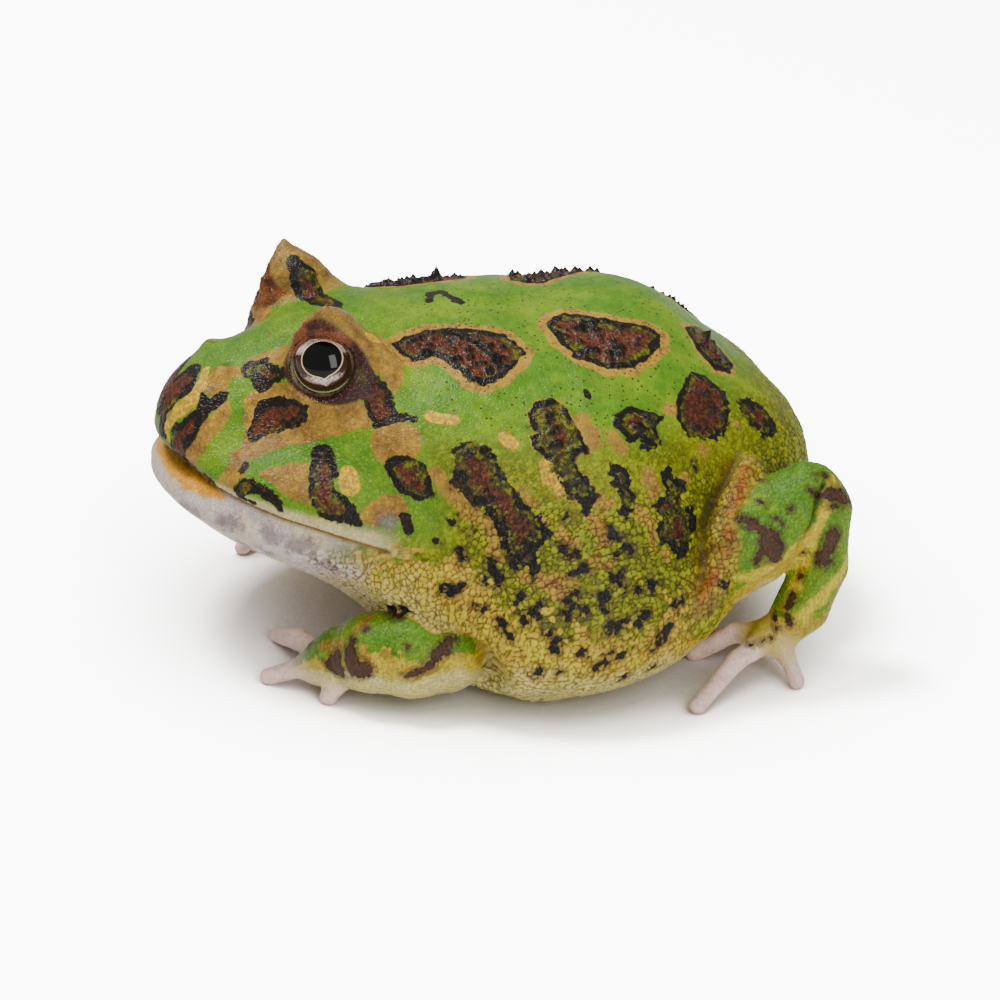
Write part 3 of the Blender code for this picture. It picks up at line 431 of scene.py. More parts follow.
JAW_CLOUDS = (
    (((-44.0, -9.5, 22.5), (-42.5, -12.5, 23.0)), 1.0),
    (((-39.9, -16.9, 23.8), (-38, -18.9, 23.9)), 0.9),
    (((-36.8, -18.1, 20.3),), 1.1),
    (((-34.6, -21.6, 23.7), (-33.9, -22.4, 23.1)), 0.9),
    (((-31.7, -23.8, 22.2), (-29.6, -24.7, 22.4)), 1.0),
    (((-34.4, -20.5, 20.6),), 0.9),
    (((-28.6, -24.8, 19.8), (-26.8, -25.4, 19.5)), 0.8),
)
# Painted shade at the corner of the mouth, laid in the lavender of the jaw clouds
CORNER_SHADE = (((-19.9, -27.3, 25.9), (-19.2, -27.6, 25.6)), 0.9)

# Lines of the skin: places, half width, and how far it sinks or, below zero, stands up
Line = namedtuple("Line", "places width depth")
FLANK_GROOVE = ((29, -25.1, 28.5), (26.4, -28.3, 26.6), (24.1, -30.7, 25.2), (22.3, -32.8, 23.3),
                (21.2, -35.9, 19.8), (20.2, -38.0, 15.9))
FOLD_CREST = ((29.7, -27.7, 27.9), (27.9, -30.8, 26.7), (26.7, -32.9, 25.9), (25.7, -34.6, 24.3),
              (24.3, -36.6, 21.6), (21.9, -38, 17.3), (20.1, -38.8, 14.7))
# Crease between shank and tarsus below the knee
KNEE_CREASE = ((38.8, -33.8, 27.4), (37.4, -34.7, 26.4), (37.0, -35.5, 24.2), (36.0, -35.8, 21.5),
               (34.9, -35.9, 19.9))
SKIN_LINES = (
    Line(FLANK_GROOVE, 0.8, 0.8),
    Line(FOLD_CREST, 0.7, -0.35),
    Line(((-24.6, -26.7, 20.9), (-21.5, -27.8, 21.7), (-18.5, -28.4, 22.7)), 0.35, 0.35),
    Line(((-20.0, -27.9, 23.1), (-17.6, -28.8, 22.4), (-15.3, -30.4, 21.1)), 0.3, 0.3),
    Line(((-2.0, -1.3, 45.5), (2.6, -1.4, 45.1), (5.7, -0.9, 44.8), (7.6, 4.3, 44.4)), 0.3, -0.25),
    Line(((-5.8, -22.7, 39.1), (-3.7, -25.0, 37.5), (-1.9, -26.1, 36.9), (0.7, -26.8, 36.6)),
         0.6, 0.35),
    Line(((-12.6, -11.1, 44.2), (-9.5, -9.9, 44.5), (-6.8, -9.9, 44.5), (-4.5, -11.7, 44.1),
          (-2.7, -14, 43.4), (-1.9, -16.3, 42.5)), 0.5, -0.7),
    Line(KNEE_CREASE, 0.4, 0.6),
)
# Tan warts of the flank: place and radius
WARTS = (
    (-2.0, -32.8, 29.4, 0.8), (-0.6, -34.7, 26.9, 0.9), (2.1, -36.4, 24.8, 0.8),
    (6.6, -36.2, 25.9, 1.0), (6.2, -35.7, 27.0, 0.8), (15.1, -32.4, 29.8, 1.1),
    (14.6, -33.6, 28.3, 0.7), (20.0, -30.7, 28.8, 0.9), (15.5, -37.2, 21.4, 0.9),
    (13.7, -35.6, 25.3, 0.7), (8.3, -34.7, 28.4, 0.6), (20.6, -23.4, 35.8, 0.9),
    (24.6, -19.8, 36.5, 1.0), (26.6, -21.5, 33.7, 1.0), (28.6, -17.6, 35.2, 0.9),
    (30.5, -20.9, 31.6, 0.9),
)
NOSTRIL = (-36.0, -3.9, 40.2)
NOSTRIL_BUMP = (-36.6, -4.7, 40.0)
# Rim of the eye's opening below the ridge of the lid: degrees round the gaze, distance from it
LOWER_RIM = ((-135, 5.4), (-90, 5.6), (-50, 6.1))
# Edge of the bare rust-brown skin round the eye, in the same way
BARE_RIM = ((-177, 5.3), (-157, 5.4), (-130, 5.2), (-97, 5.9), (-68, 6.8), (-44, 7.7), (-29, 7.5),
            (-14, 6.3), (12, 5.2), (36, 4.6), (59, 4.5), (81, 5.2), (102, 5.3), (125, 5.6), (144, 5.5))


# Distances to the smooth form, for arrays of points

def blend(first, second, width):
    """Union of two distances, melted together over a width."""
    if width == 0:
        return np.minimum(first, second)
    share = np.clip(0.5 + 0.5 * (second - first) / width, 0, 1)
    return second * (1 - share) + first * share - width * share * (1 - share)


def carve(shape, tool, width):
    """A distance with another shape taken away, its edge rounded over a width."""
    return -blend(-shape, tool, width)


def ball_distance(points, ball):
    offset = points - np.array(ball.centre)
    tilt = math.radians(ball.tilt)
    along = offset[:, 0] * math.cos(tilt) - offset[:, 2] * math.sin(tilt)
    upward = offset[:, 0] * math.sin(tilt) + offset[:, 2] * math.cos(tilt)
    local = np.stack((along, offset[:, 1], upward), axis=1)
    half = np.array(ball.half_sizes)
    near = np.linalg.norm(local / half, axis=1)
    slope = np.linalg.norm(local / half ** 2, axis=1)
    return near * (near - 1) / np.maximum(slope, 1e-9)


def limb_distance(points, limb):
    """Distance to a row of round cones, or the far limit for points further off than that."""
    spots = np.array(limb.points, dtype=float)
    if len(spots) == 1:
        return np.linalg.norm(points - spots[0], axis=1) - limb.radii[0]
    reach = max(limb.radii) + FAR
    lowest, highest = spots.min(axis=0) - reach, spots.max(axis=0) + reach
    close = ((points > lowest) & (points < highest)).all(axis=1)
    here = points[close]
    shape = None
    for start, end, wide, narrow in zip(spots[:-1], spots[1:], limb.radii[:-1], limb.radii[1:]):
        line = end - start
        along = np.clip((here - start) @ line / (line @ line), 0, 1)
        nearest = start + along[:, None] * line
        cone = np.linalg.norm(here - nearest, axis=1) - (wide + (narrow - wide) * along)
        shape = cone if shape is None else blend(shape, cone, CONE_BLEND)
    result = np.full(len(points), FAR)
    result[close] = shape
    return result


def distance(points, shapes):
    total = None
    for shape in shapes:
        measure = ball_distance if isinstance(shape, Ball) else limb_distance
        here = measure(points, shape)
        total = here if total is None else blend(total, here, shape.blend)
    return total


def on_right(points):
    """The same points with Y folded to the right side, softly at the midline."""
    folded = points.copy()
    folded[:, 1] = np.sqrt(points[:, 1] ** 2 + MIDLINE_SOFTNESS ** 2)
    return folded


def on_left(points):
    """The same points with Y folded to the left side, where the markings are drawn."""
    folded = points.copy()
    folded[:, 1] = -np.abs(points[:, 1])
    return folded


def set_back(shape):
    """The shape turned outward about the elbow and moved back, as the right arm is."""
    places = []
    for x, y, z in shape.points:
        ahead, outward = x - ARM_PIVOT[0], y - ARM_PIVOT[1]
        turned_x = ahead * math.cos(RIGHT_ARM_TURN) + outward * math.sin(RIGHT_ARM_TURN)
        turned_y = outward * math.cos(RIGHT_ARM_TURN) - ahead * math.sin(RIGHT_ARM_TURN)
        places.append((ARM_PIVOT[0] + turned_x + RIGHT_ARM_BACK, ARM_PIVOT[1] + turned_y, z))
    return Limb(tuple(places), shape.radii, shape.blend)


def arm_pits(points):
    """Hollows of the body that the elbows lie in."""
    left = limb_distance(points * np.array((1, LEFT, 1)), ARM_PIT)
    right = limb_distance(points * np.array((1, RIGHT, 1)), set_back(ARM_PIT))
    return np.minimum(left, right)


def mouth_height(x):
    """Height of the mouth line at each x."""
    falling = MOUTH_CORNER[1] - MOUTH_SLOPE * (x - MOUTH_CORNER[0])
    return blend(falling, np.full_like(x, MOUTH_FRONT_Z), MOUTH_BEND)


def body_distance(points):
    """Trunk, head and lower jaw, with the lips rolled in along the mouth line."""
    side = on_right(points)
    trunk = carve(distance(side, TRUNK + (ARM_ROLL, FLANK_FOLD)), arm_pits(points), PIT_ROUNDING)
    over_mouth = side[:, 2] - mouth_height(side[:, 0])
    ahead = np.clip((LIP_END_X - side[:, 0]) / LIP_FADE, 0, 1)
    lip_place = LIP_SET_BACK * ahead - LIP_OVERLAP * (1 - ahead)
    opening = np.clip((side[:, 0] - LIP_LIFT_START) / (LIP_LIFT_END - LIP_LIFT_START), 0, 1)
    lift = LIP_LIFT * opening ** 2
    head = carve(distance(side, HEAD), over_mouth - lift - lip_place, LIP_ROUNDING)
    jaw = carve(distance(side, JAW), -over_mouth - lip_place, LIP_ROUNDING)
    return blend(blend(trunk, head, NECK_BLEND), jaw, NECK_BLEND)


def digits(root, reaches, radii):
    """Fingers or toes that spread from one root, each over a knuckle to its tip."""
    return tuple(Limb((root, knuckle, tip), radii, KNUCKLE_BLEND) for knuckle, tip in reaches)


ARM = (PALM,) + digits(WRIST, FINGERS, FINGER_RADII) + FOREARM + UPPER_ARM
LEG = (TARSUS,) + digits(TOE_ROOT, TOES, TOE_RADII) + SHANK + THIGH
LIMBS = {
    LEFT: (ARM, LEG),
    RIGHT: (tuple(set_back(shape) for shape in ARM), LEG),
}


def skin_distance(points):
    """The whole skin: body, lids around the eyes, arms and legs, cut level at the floor."""
    side = on_right(points)
    opening = np.array(EYE_CENTRE) + np.array(GAZE) * LID_OPENING_SHIFT
    opening -= np.array((0, 0, LID_OPENING_DROP))
    whole = blend(body_distance(points), distance(side, LID), LID_BLEND)
    whole = carve(whole, np.linalg.norm(side - opening, axis=1) - LID_OPENING_RADIUS,
                  LID_OPENING_ROUNDING)
    for hand, limbs in LIMBS.items():
        outward = points * np.array((1, hand, 1))
        for limb in limbs:
            whole = blend(whole, distance(outward, limb), LIMB_BLEND)
    return np.maximum(whole, -points[:, 2])


# Scattered numbers and noise that are the same on each run

def scattered(cells, seed):
    """Three numbers from 0 to 1 for each cell of a grid, fixed by the seed."""
    mixed = (cells[:, 0] * 73856093 ^ cells[:, 1] * 19349663 ^ cells[:, 2] * 83492791) + seed * 6542989
    numbers = []
    for step in (1, 2, 3):
        value = (mixed * (2 * step + 1) + step * 40503) & 0xFFFFFFFF
        value = ((value ^ (value >> 15)) * 2246822519) & 0xFFFFFFFF
        value = ((value ^ (value >> 13)) * 3266489917) & 0xFFFFFFFF
        numbers.append(((value ^ (value >> 16)) & 0xFFFF) / 0xFFFF)
    return np.stack(numbers, axis=1)


def noise(points, pitch, seed):
    """Smooth noise from 0 to 1, with hills a pitch apart."""
    place = points / pitch
    cell = np.floor(place).astype(np.int64)
    part = place - cell
    part = part * part * (3 - 2 * part)
    total = np.zeros(len(points))
    for corner in itertools.product((0, 1), repeat=3):
        weight = np.prod(np.where(np.array(corner) == 1, part, 1 - part), axis=1)
        total += weight * scattered(cell + np.array(corner), seed)[:, 0]
    return total


def pebbles(points, pitch, seed):
    """Distance to the nearest and the next pebble, in pitches, and a number of the nearest."""
    cell = np.floor(points / pitch).astype(np.int64)
    nearest = np.full(len(points), 9.0)
    following = np.full(len(points), 9.0)
    number = np.zeros(len(points))
    for step in itertools.product((-1, 0, 1), repeat=3):
        here = cell + np.array(step)
        spread = scattered(here, seed)
        centre = here + 0.5 + (spread - 0.5) * 0.75
        away = np.linalg.norm(points / pitch - centre, axis=1)
        following = np.minimum(following, np.maximum(nearest, away))
        number = np.where(away < nearest, spread[:, 0], number)
        nearest = np.minimum(nearest, away)
    return nearest, following, number


def ramp(value, start, end):
    """0 at the start, 1 at the end, and smooth between them."""
    share = np.clip((value - start) / (end - start), 0, 1)
    return share * share * (3 - 2 * share)


# Skin mesh

def mirrored(place, side):
    """A place of the right side in metres, on either side."""
    return Vector((place[0], place[1] * side, place[2])) * MM


def unit_ball():
    """Points and faces of a ball of radius 1."""
    bm = bmesh.new()
    bmesh.ops.create_icosphere(bm, subdivisions=4, radius=1)
    points = np.array([vertex.co for vertex in bm.verts])
    faces = np.array([[vertex.index for vertex in face.verts] for face in bm.faces])
    bm.free()
    return points, faces


def balls_of(shape):
    """Where balls go to fill a shape, with their sizes and tilt."""
    if isinstance(shape, Ball):
        return [(np.array(shape.centre), np.array(shape.half_sizes), shape.tilt)]
    spots = np.array(shape.points, dtype=float)
    balls = []
    for start, end, wide, narrow in zip(spots[:-1], spots[1:], shape.radii[:-1], shape.radii[1:]):
        for share in np.linspace(0, 1, 9):
            radius = wide + (narrow - wide) * share
            balls.append((start + (end - start) * share, np.full(3, radius), 0))
    return balls


def new_piece(name, mesh):
    obj = bpy.data.objects.new(name, mesh)
    bpy.context.scene.collection.objects.link(obj)
    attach(obj, "root")
    return obj


def apply_modifiers(obj):
    graph = bpy.context.evaluated_depsgraph_get()
    mesh = bpy.data.meshes.new_from_object(obj.evaluated_get(graph))
    obj.modifiers.clear()
    old = obj.data
    obj.data = mesh
    bpy.data.meshes.remove(old)


def read_points(mesh):
    flat = np.empty(len(mesh.vertices) * 3)
    mesh.vertices.foreach_get("co", flat)
    return flat.reshape(-1, 3) / MM


def write_points(mesh, points):
    mesh.vertices.foreach_set("co", (points * MM).ravel())
    mesh.update()


def read_normals(mesh):
    flat = np.empty(len(mesh.vertices) * 3)
    mesh.vertex_normals.foreach_get("vector", flat)
    return flat.reshape(-1, 3)


def settled(points, field):
    """Points moved along the slope of a distance field until they lie on its zero."""
    reach = 0.02
    for _ in range(4):
        here = field(points)
        slope = np.stack([field(points + reach * axis) - here for axis in np.eye(3)], axis=1) / reach
        steep = np.maximum((slope ** 2).sum(axis=1), 0.2)
        points = points - slope * np.clip(here / steep, -2, 2)[:, None]
    return points


def put_notes(mesh, notes):
    """Numbers for each point of a mesh, which its material reads by name."""
    for name, values in notes.items():
        attribute = mesh.attributes.new(name, "FLOAT", "POINT")
        attribute.data.foreach_set("value", values.astype(np.float32))


def relax(mesh, rounds):
    bm = bmesh.new()
    bm.from_mesh(mesh)
    for _ in range(rounds):
        bmesh.ops.smooth_vert(bm, verts=bm.verts, factor=0.5, use_axis_x=True, use_axis_y=True,
                              use_axis_z=True)
    bm.to_mesh(mesh)
    bm.free()


def make_skin():
    """One closed skin over body, lids and limbs, settled on the smooth form."""
    ball_points, ball_faces = unit_ball()
    points, faces = [], []
    for side, limbs in LIMBS.items():
        for shape in TRUNK + (ARM_ROLL, FLANK_FOLD) + HEAD + JAW + LID + limbs[0] + limbs[1]:
            for centre, half_sizes, tilt in balls_of(shape):
                turn = np.array(Matrix.Rotation(math.radians(tilt), 3, "Y"))
                placed = (ball_points * half_sizes) @ turn.T + centre
                faces.append(ball_faces[:, ::side] + len(points) * len(ball_points))
                points.append(placed * np.array((1, side, 1)))
    mesh = bpy.data.meshes.new("skin")
    mesh.from_pydata(np.concatenate(points) * MM, [], np.concatenate(faces))
    skin = new_piece("skin", mesh)
    remesh = skin.modifiers.new("one skin", "REMESH")
    remesh.mode = "VOXEL"
    remesh.voxel_size = SKIN_CELL * MM
    apply_modifiers(skin)
    for _ in range(3):
        relax(skin.data, 3)
        write_points(skin.data, settled(read_points(skin.data), skin_distance))
    split = skin.modifiers.new("finer", "SUBSURF")
    split.levels = SKIN_SPLITS
    split.render_levels = SKIN_SPLITS
    apply_modifiers(skin)
    for _ in range(2):
        points = read_points(skin.data)
        step = np.clip(skin_distance(points), -1, 1)
        write_points(skin.data, points - read_normals(skin.data) * step[:, None])
    return skin


# Markings

def patch_frame(patch):
    """The skin's slope at a patch's centre, and the tailward and uphill ways along it."""
    centre = np.array([patch.centre])
    reach = 0.05
    steps = reach * np.eye(3)
    slope = skin_distance(centre + steps) - skin_distance(centre - steps)
    normal = slope / np.linalg.norm(slope)
    tailward = np.array((1.0, 0, 0)) - normal * normal[0]
    tailward /= np.linalg.norm(tailward)
    return normal, tailward, np.cross(normal, tailward)


def outline_distance(flat, outline):
    """Distance to a closed outline on a plane, below zero inside it."""
    corners = np.array(outline, dtype=float)
    nearest = np.full(len(flat), 99.0)
    inside = np.zeros(len(flat), dtype=bool)
    for start, end in zip(corners, np.roll(corners, -1, axis=0)):
        line = end - start
        along = np.clip((flat - start) @ line / (line @ line), 0, 1)
        nearest = np.minimum(nearest, np.linalg.norm(flat - start - along[:, None] * line, axis=1))
        level = (flat[:, 1] < start[1]) != (flat[:, 1] < end[1])
        crossing = start[0] + (flat[:, 1] - start[1]) / (line[1] if line[1] else 1e-9) * line[0]
        inside ^= level & (flat[:, 0] < crossing)
    return np.where(inside, -nearest, nearest)


def lay_patches(points, normals, patches):
    """Distance to patches on both sides, with the halo and redness of the nearest."""
    away = np.full(len(points), MARK_REACH)
    halo = np.zeros(len(points))
    red = np.zeros(len(points))
    for patch in patches.values():
        normal, tailward, uphill = patch_frame(patch)
        size = np.abs(np.array(patch.outline)).max() * 1.3 + MARK_REACH
        for side in (LEFT, RIGHT):
            fold = np.array((1, -side, 1))
            offset = points * fold - np.array(patch.centre)
            near = (np.abs(offset) < size).all(axis=1)
            near[near] = (normals[near] * fold) @ normal > -0.1
            flat = np.stack((offset[near] @ tailward, offset[near] @ uphill), axis=1)
            here = outline_distance(flat, patch.outline)
            closer = here < away[near]
            index = np.flatnonzero(near)[closer]
            away[index] = here[closer]
            halo[index] = patch.halo
            red[index] = patch.red
    return away, halo, red


def stroke_distance(points, *strokes):
    """Distance to strokes, each given by its places and its half widths."""
    away = np.full(len(points), MARK_REACH)
    for places, widths in strokes:
        radii = tuple(np.broadcast_to(widths, len(places)))
        away = np.minimum(away, limb_distance(points, Limb(places, radii, 0)))
    return away


def line_distance(points, places):
    return limb_distance(points, Limb(places, (0,) * len(places), 0))


# Relief

def pick_places(points, pitch, seed):
    """Places about a pitch apart, picked from the points."""
    order = np.random.default_rng(seed).permutation(len(points))
    cells = np.floor(points[order] / pitch).astype(np.int64)
    first = np.unique(cells, axis=0, return_index=True)[1]
    return order[first]


def raised(points, places, radii, heights, sharpness):
    """Height of a cone or dome at each place; a higher sharpness draws in its flanks."""
    order = np.argsort(points[:, 0])
    xs = points[order, 0]
    lift = np.zeros(len(points))
    for place, radius, height in zip(places, radii, heights):
        low, high = np.searchsorted(xs, (place[0] - radius, place[0] + radius))
        near = order[low:high]
        share = 1 - np.linalg.norm(points[near] - place, axis=1) / radius
        inside = share > 0
        top = height * share[inside] ** sharpness
        lift[near[inside]] = np.maximum(lift[near[inside]], top)
    return lift


def eye_ways():
    """Gaze of the right eye, and the tailward and uphill ways square to it."""
    gaze = np.array(GAZE) / np.linalg.norm(GAZE)
    tailward = np.array((1.0, 0, 0)) - gaze * gaze[0]
    tailward /= np.linalg.norm(tailward)
    uphill = np.array((0, 0, 1.0)) - gaze * gaze[2]
    uphill -= tailward * (uphill @ tailward)
    return gaze, tailward, uphill / np.linalg.norm(uphill)


def eye_surround(side):
    """How far points are past the rim of the eye's opening, past the bare skin, and uphill."""
    gaze, tailward, uphill = eye_ways()
    ridge = np.array(LID[2].points) - np.array(EYE_CENTRE)
    turns = list(np.arctan2(ridge @ uphill, ridge @ tailward))
    reaches = list(np.hypot(ridge @ uphill, ridge @ tailward))
    for degrees, reach in LOWER_RIM:
        turns.append(math.radians(degrees))
        reaches.append(reach)
    offset = side - np.array(EYE_CENTRE)
    across, rise = offset @ tailward, offset @ uphill
    angle = np.arctan2(rise, across)
    beyond = np.hypot(across, rise) - np.interp(angle, turns, reaches, period=2 * math.pi)
    bare_turns, bare_reaches = zip(*BARE_RIM)
    bare = np.hypot(across, rise) - np.interp(angle, np.radians(bare_turns), bare_reaches,
                                              period=2 * math.pi)
    behind = (offset @ gaze < -1.5) | (np.linalg.norm(offset, axis=1) > 11)
    return np.where(behind, FAR, beyond), np.where(behind, FAR, bare), rise


# What the skin's material reads at each point: shares of areas, distances to markings, relief, and
# where shade is painted
SKIN_NOTES = (
    "limb", "tip", "bare", "uphill", "lid", "jaw", "gum", "lip", "belly", "cream", "back", "head",
    "patch", "border", "halo", "red", "dark", "tan", "yellow", "cloud_and_shade", "pebble", "hollow",
    "limb_yellow", "crest", "strip", "crevice", "wart", "spike", "groove", "rim", "nostril")


def skin_areas(points, normals):
    """Shares from 0 to 1 of the skin's areas at each point, by name."""
    side = on_right(points)
    x, z = points[:, 0], points[:, 2]
    wobble = noise(points, 3.0, 11) - 0.5
    body = body_distance(points)
    limb = ramp(np.minimum(body, distance(side, LID)), 0.1, 1.0)
    arm = limb * (1 - ramp(x, 2, 6))
    hands, toes, reach = (np.full(len(points), FAR) for _ in range(3))
    for hand, (arm_shapes, leg_shapes) in LIMBS.items():
        outward = points * np.array((1, hand, 1))
        hands = np.minimum(hands, distance(outward, arm_shapes[:1 + len(FINGERS)]))
        toes = np.minimum(toes, distance(outward, leg_shapes[1:1 + len(TOES)]))
        for root in (arm_shapes[0].points[0], TOE_ROOT):
            reach = np.minimum(reach, np.linalg.norm(outward - np.array(root), axis=1))
    digit = limb * np.maximum(1 - ramp(hands, 0, 1.5), 1 - ramp(toes, 0, 1.5))
    tip = digit * ramp(reach + wobble, 2.5, 6.5)

    beyond, bare, rise = eye_surround(side)
    hood = (1 - ramp(beyond, -0.8, -0.2)) * (1 - limb)
    bare = (1 - ramp(bare + 0.5 * wobble, -0.3, 0.3)) * (1 - limb)
    lid = (1 - ramp(distance(side, LID), 0.4, 1.3)) * ramp(z, 41.5, 43.5) * (1 - hood)
    over_mouth = z - mouth_height(x)
    front = (1 - ramp(x, -22, -17)) * (1 - limb)
    throat = 1 - ramp(x + 8 * wobble + 0.25 * (z - 20), -29, -19)
    jaw = front * (1 - ramp(over_mouth, -0.2, 0.2)) * throat
    shelf = stroke_distance(on_left(points), ORANGE_SHELF)
    gum = jaw * (1 - ramp(shelf, -0.4, 0.4))
    lip_width = np.interp(x, (-44, -39, -20), (0.5, 1.4, 2.9))
    lip = front * (1 - ramp(over_mouth / lip_width, 0.55, 1.15)) * ramp(over_mouth, -0.4, 0.0)

    drift = noise(points, 5.0, 12) - 0.5
    edge_z = 14.5 + 7.5 * (1 - ramp(x, -16, 0)) - 1.5 * ramp(x, 5, 25)
    belly = 1 - ramp(z + wobble * 4 + drift * 7, edge_z - 4, edge_z + 4)
    cream = 1 - ramp(z + wobble * 3 + drift * 4, 4, 12 + 17 * (1 - ramp(x, -19, -7)))
    down = -normals[:, 2] + wobble * 0.4
    level = np.where(arm > 0.5, 0.15, 0.7)
    under = ramp(down, level - 0.3, level + 0.15) * limb
    edge = ramp(down, level - 0.65, level - 0.3) * limb
    foot = limb * (1 - arm) * (1 - ramp(z, 8, 11))
    belly = np.maximum(belly * (1 - limb), np.maximum(edge, foot))
    cream = np.maximum(cream * (1 - limb), np.maximum(under, 0.25 * foot))
    return dict(limb=limb, digit=digit, tip=tip, hood=hood, bare=np.maximum(hood, bare),
                uphill=ramp(rise, 0.4, 2.2), lid=lid, jaw=jaw, gum=gum, lip=lip,
                belly=belly, cream=cream,
                back=ramp(z, 30, 38) * ramp(normals[:, 2], 0.4, 0.8),
                head=(1 - ramp(x, -16, -9)) * ramp(z, 20, 25))


def grain_relief(points, area):
    """Height of the pebbled grain, a number of each pebble and the painted shade in the lines between
    them.

    The pebbles are large on flank and belly, fine above, and faint on head, back and limbs.
    """
    x, z = points[:, 0], points[:, 2]
    limb, head, back = area["limb"], area["head"], area["back"]
    grained = (1 - area["digit"]) * (1 - 0.75 * area["jaw"] * (1 - ramp(x, -34, -26)))
    grain = np.clip(1 - 0.95 * back - 0.85 * head - 0.75 * limb, 0.04, 1) * grained
    near, following, number = pebbles(points, PEBBLE, 5)
    crevice = 1 - ramp(following - near, 0.02, 0.26)
    fine_near, fine_following, fine_number = pebbles(points, FINE_PEBBLE, 6)
    fine_crevice = 1 - ramp(fine_following - fine_near, 0.0, 0.3)
    upper = np.maximum(ramp(z + 2 * noise(points, 4.0, 7), 28, 34), np.maximum(head, 0.7 * limb))
    coarse = grain * (1 - upper)
    fine = np.clip(upper * (1 - 0.75 * back), 0, 1) * grained
    height = coarse * PEBBLE_HEIGHT * (1 - crevice) * (0.6 + 0.8 * number)
    height += fine * FINE_PEBBLE_HEIGHT * (1 - fine_crevice) * (0.5 + fine_number)
    number = np.where(upper > 0.5, fine_number, number)
    fine_crevice *= fine * (1 - back) * (0.8 - 0.45 * head)
    return height, number, np.maximum(crevice * coarse, fine_crevice)


def skin_markings(points, normals, area, number):
    """Distances to the markings, whose edges follow the pebbles, and the look of the patches."""
    left, side = on_left(points), on_right(points)
    limb, head, back = area["limb"], area["head"], area["back"]
    ragged = 0.5 * (noise(points, 0.8, 51) - 0.5) + 0.3 * (noise(points, 2.0, 52) - 0.5)
    jag = ragged + (number - 0.5) * JAG * np.clip(1 - back - 0.7 * head - 0.5 * limb, 0, 1)

    patch, halo, red = lay_patches(points, normals, PATCHES)
    stripe = stroke_distance(points, SNOUT_STRIPE)
    snout_bar = np.maximum(stroke_distance(points, *SNOUT_BAR), 0.2 - stripe)
    for extra, its_red in ((stroke_distance(left, *ROUND_PATCHES), 0.45), (snout_bar, 0.75),
                           (stroke_distance(side, BROW_MARKS), 0.3),
                           (stroke_distance(side, LID_BAR), 0.55)):
        closer = extra < patch
        red = np.where(closer, its_red, red)
        halo = np.where(closer, 0, halo)
        patch = np.minimum(patch, extra)
    loose = np.clip(1 - back - head - limb, 0, 1)
    width = BORDER * np.clip(2.2 * noise(points, 1.6, 53) - 0.15, 0.1, 1.8)
    border = np.abs(patch + width / 2) - width / 2 + loose * 1.2 * (noise(points, 2.6, 54) - 0.42)
    clusters = 0.9 - 2.6 * (noise(points, 1.7, 55) - 0.42) + 0.2 * (1 - loose)
    border = np.minimum(border, np.maximum(clusters, patch + 0.3))
    dark = np.minimum(stroke_distance(left, *DARK_STROKES), stroke_distance(points, *NAPE_MARK))
    on_jaw = area["jaw"] > 0.5
    dark, patch, border = (np.where(on_jaw, MARK_REACH, away) for away in (dark, patch, border))
    tan = lay_patches(points, normals, TAN_PATCHES)[0]
    tan = np.minimum(tan, stroke_distance(left, *TAN_STROKES))
    yellow = np.minimum(stroke_distance(left, *YELLOW_STROKES), stripe)
    # Lavender clouds of the jaw, with painted shade at the mouth's corner
    cloud_and_shade = np.minimum(stroke_distance(left, *JAW_CLOUDS), stroke_distance(left, CORNER_SHADE))
    return patch, dict(
        patch=patch + jag, border=border + 0.7 * jag, halo=halo, red=red,
        dark=dark + jag + 0.12 * loose, tan=tan + jag, yellow=yellow + 0.6 * jag,
        cloud_and_shade=cloud_and_shade + jag, limb_yellow=stroke_distance(left, *LIMB_YELLOW) + jag)


def wart_relief(points):
    """Shares of the tan warts, which stand on both flanks."""
    warts = np.array(WARTS)
    return np.maximum(*(raised(points, warts[:, :3] * (1, fold, 1), warts[:, 3],
                               np.ones(len(warts)), 0.7) for fold in (1, -1)))


def spike_relief(points, patch, head):
    """Height of the small spikes that stand in the patches of the back."""
    places = pick_places(points, SPIKE_PITCH, 31)
    ridge = ramp(-patch[places], 0.0, 0.5) * ramp(points[places][:, 2], 31, 36) * (1 - head[places])
    places = places[np.random.default_rng(32).random(len(places)) < 0.6 * ridge]
    tall = 0.25 + (SPIKE_HEIGHT - 0.25) * np.random.default_rng(33).random(len(places)) ** 2
    return raised(points, points[places], 0.5 + 0.45 * tall, tall, 1.3)


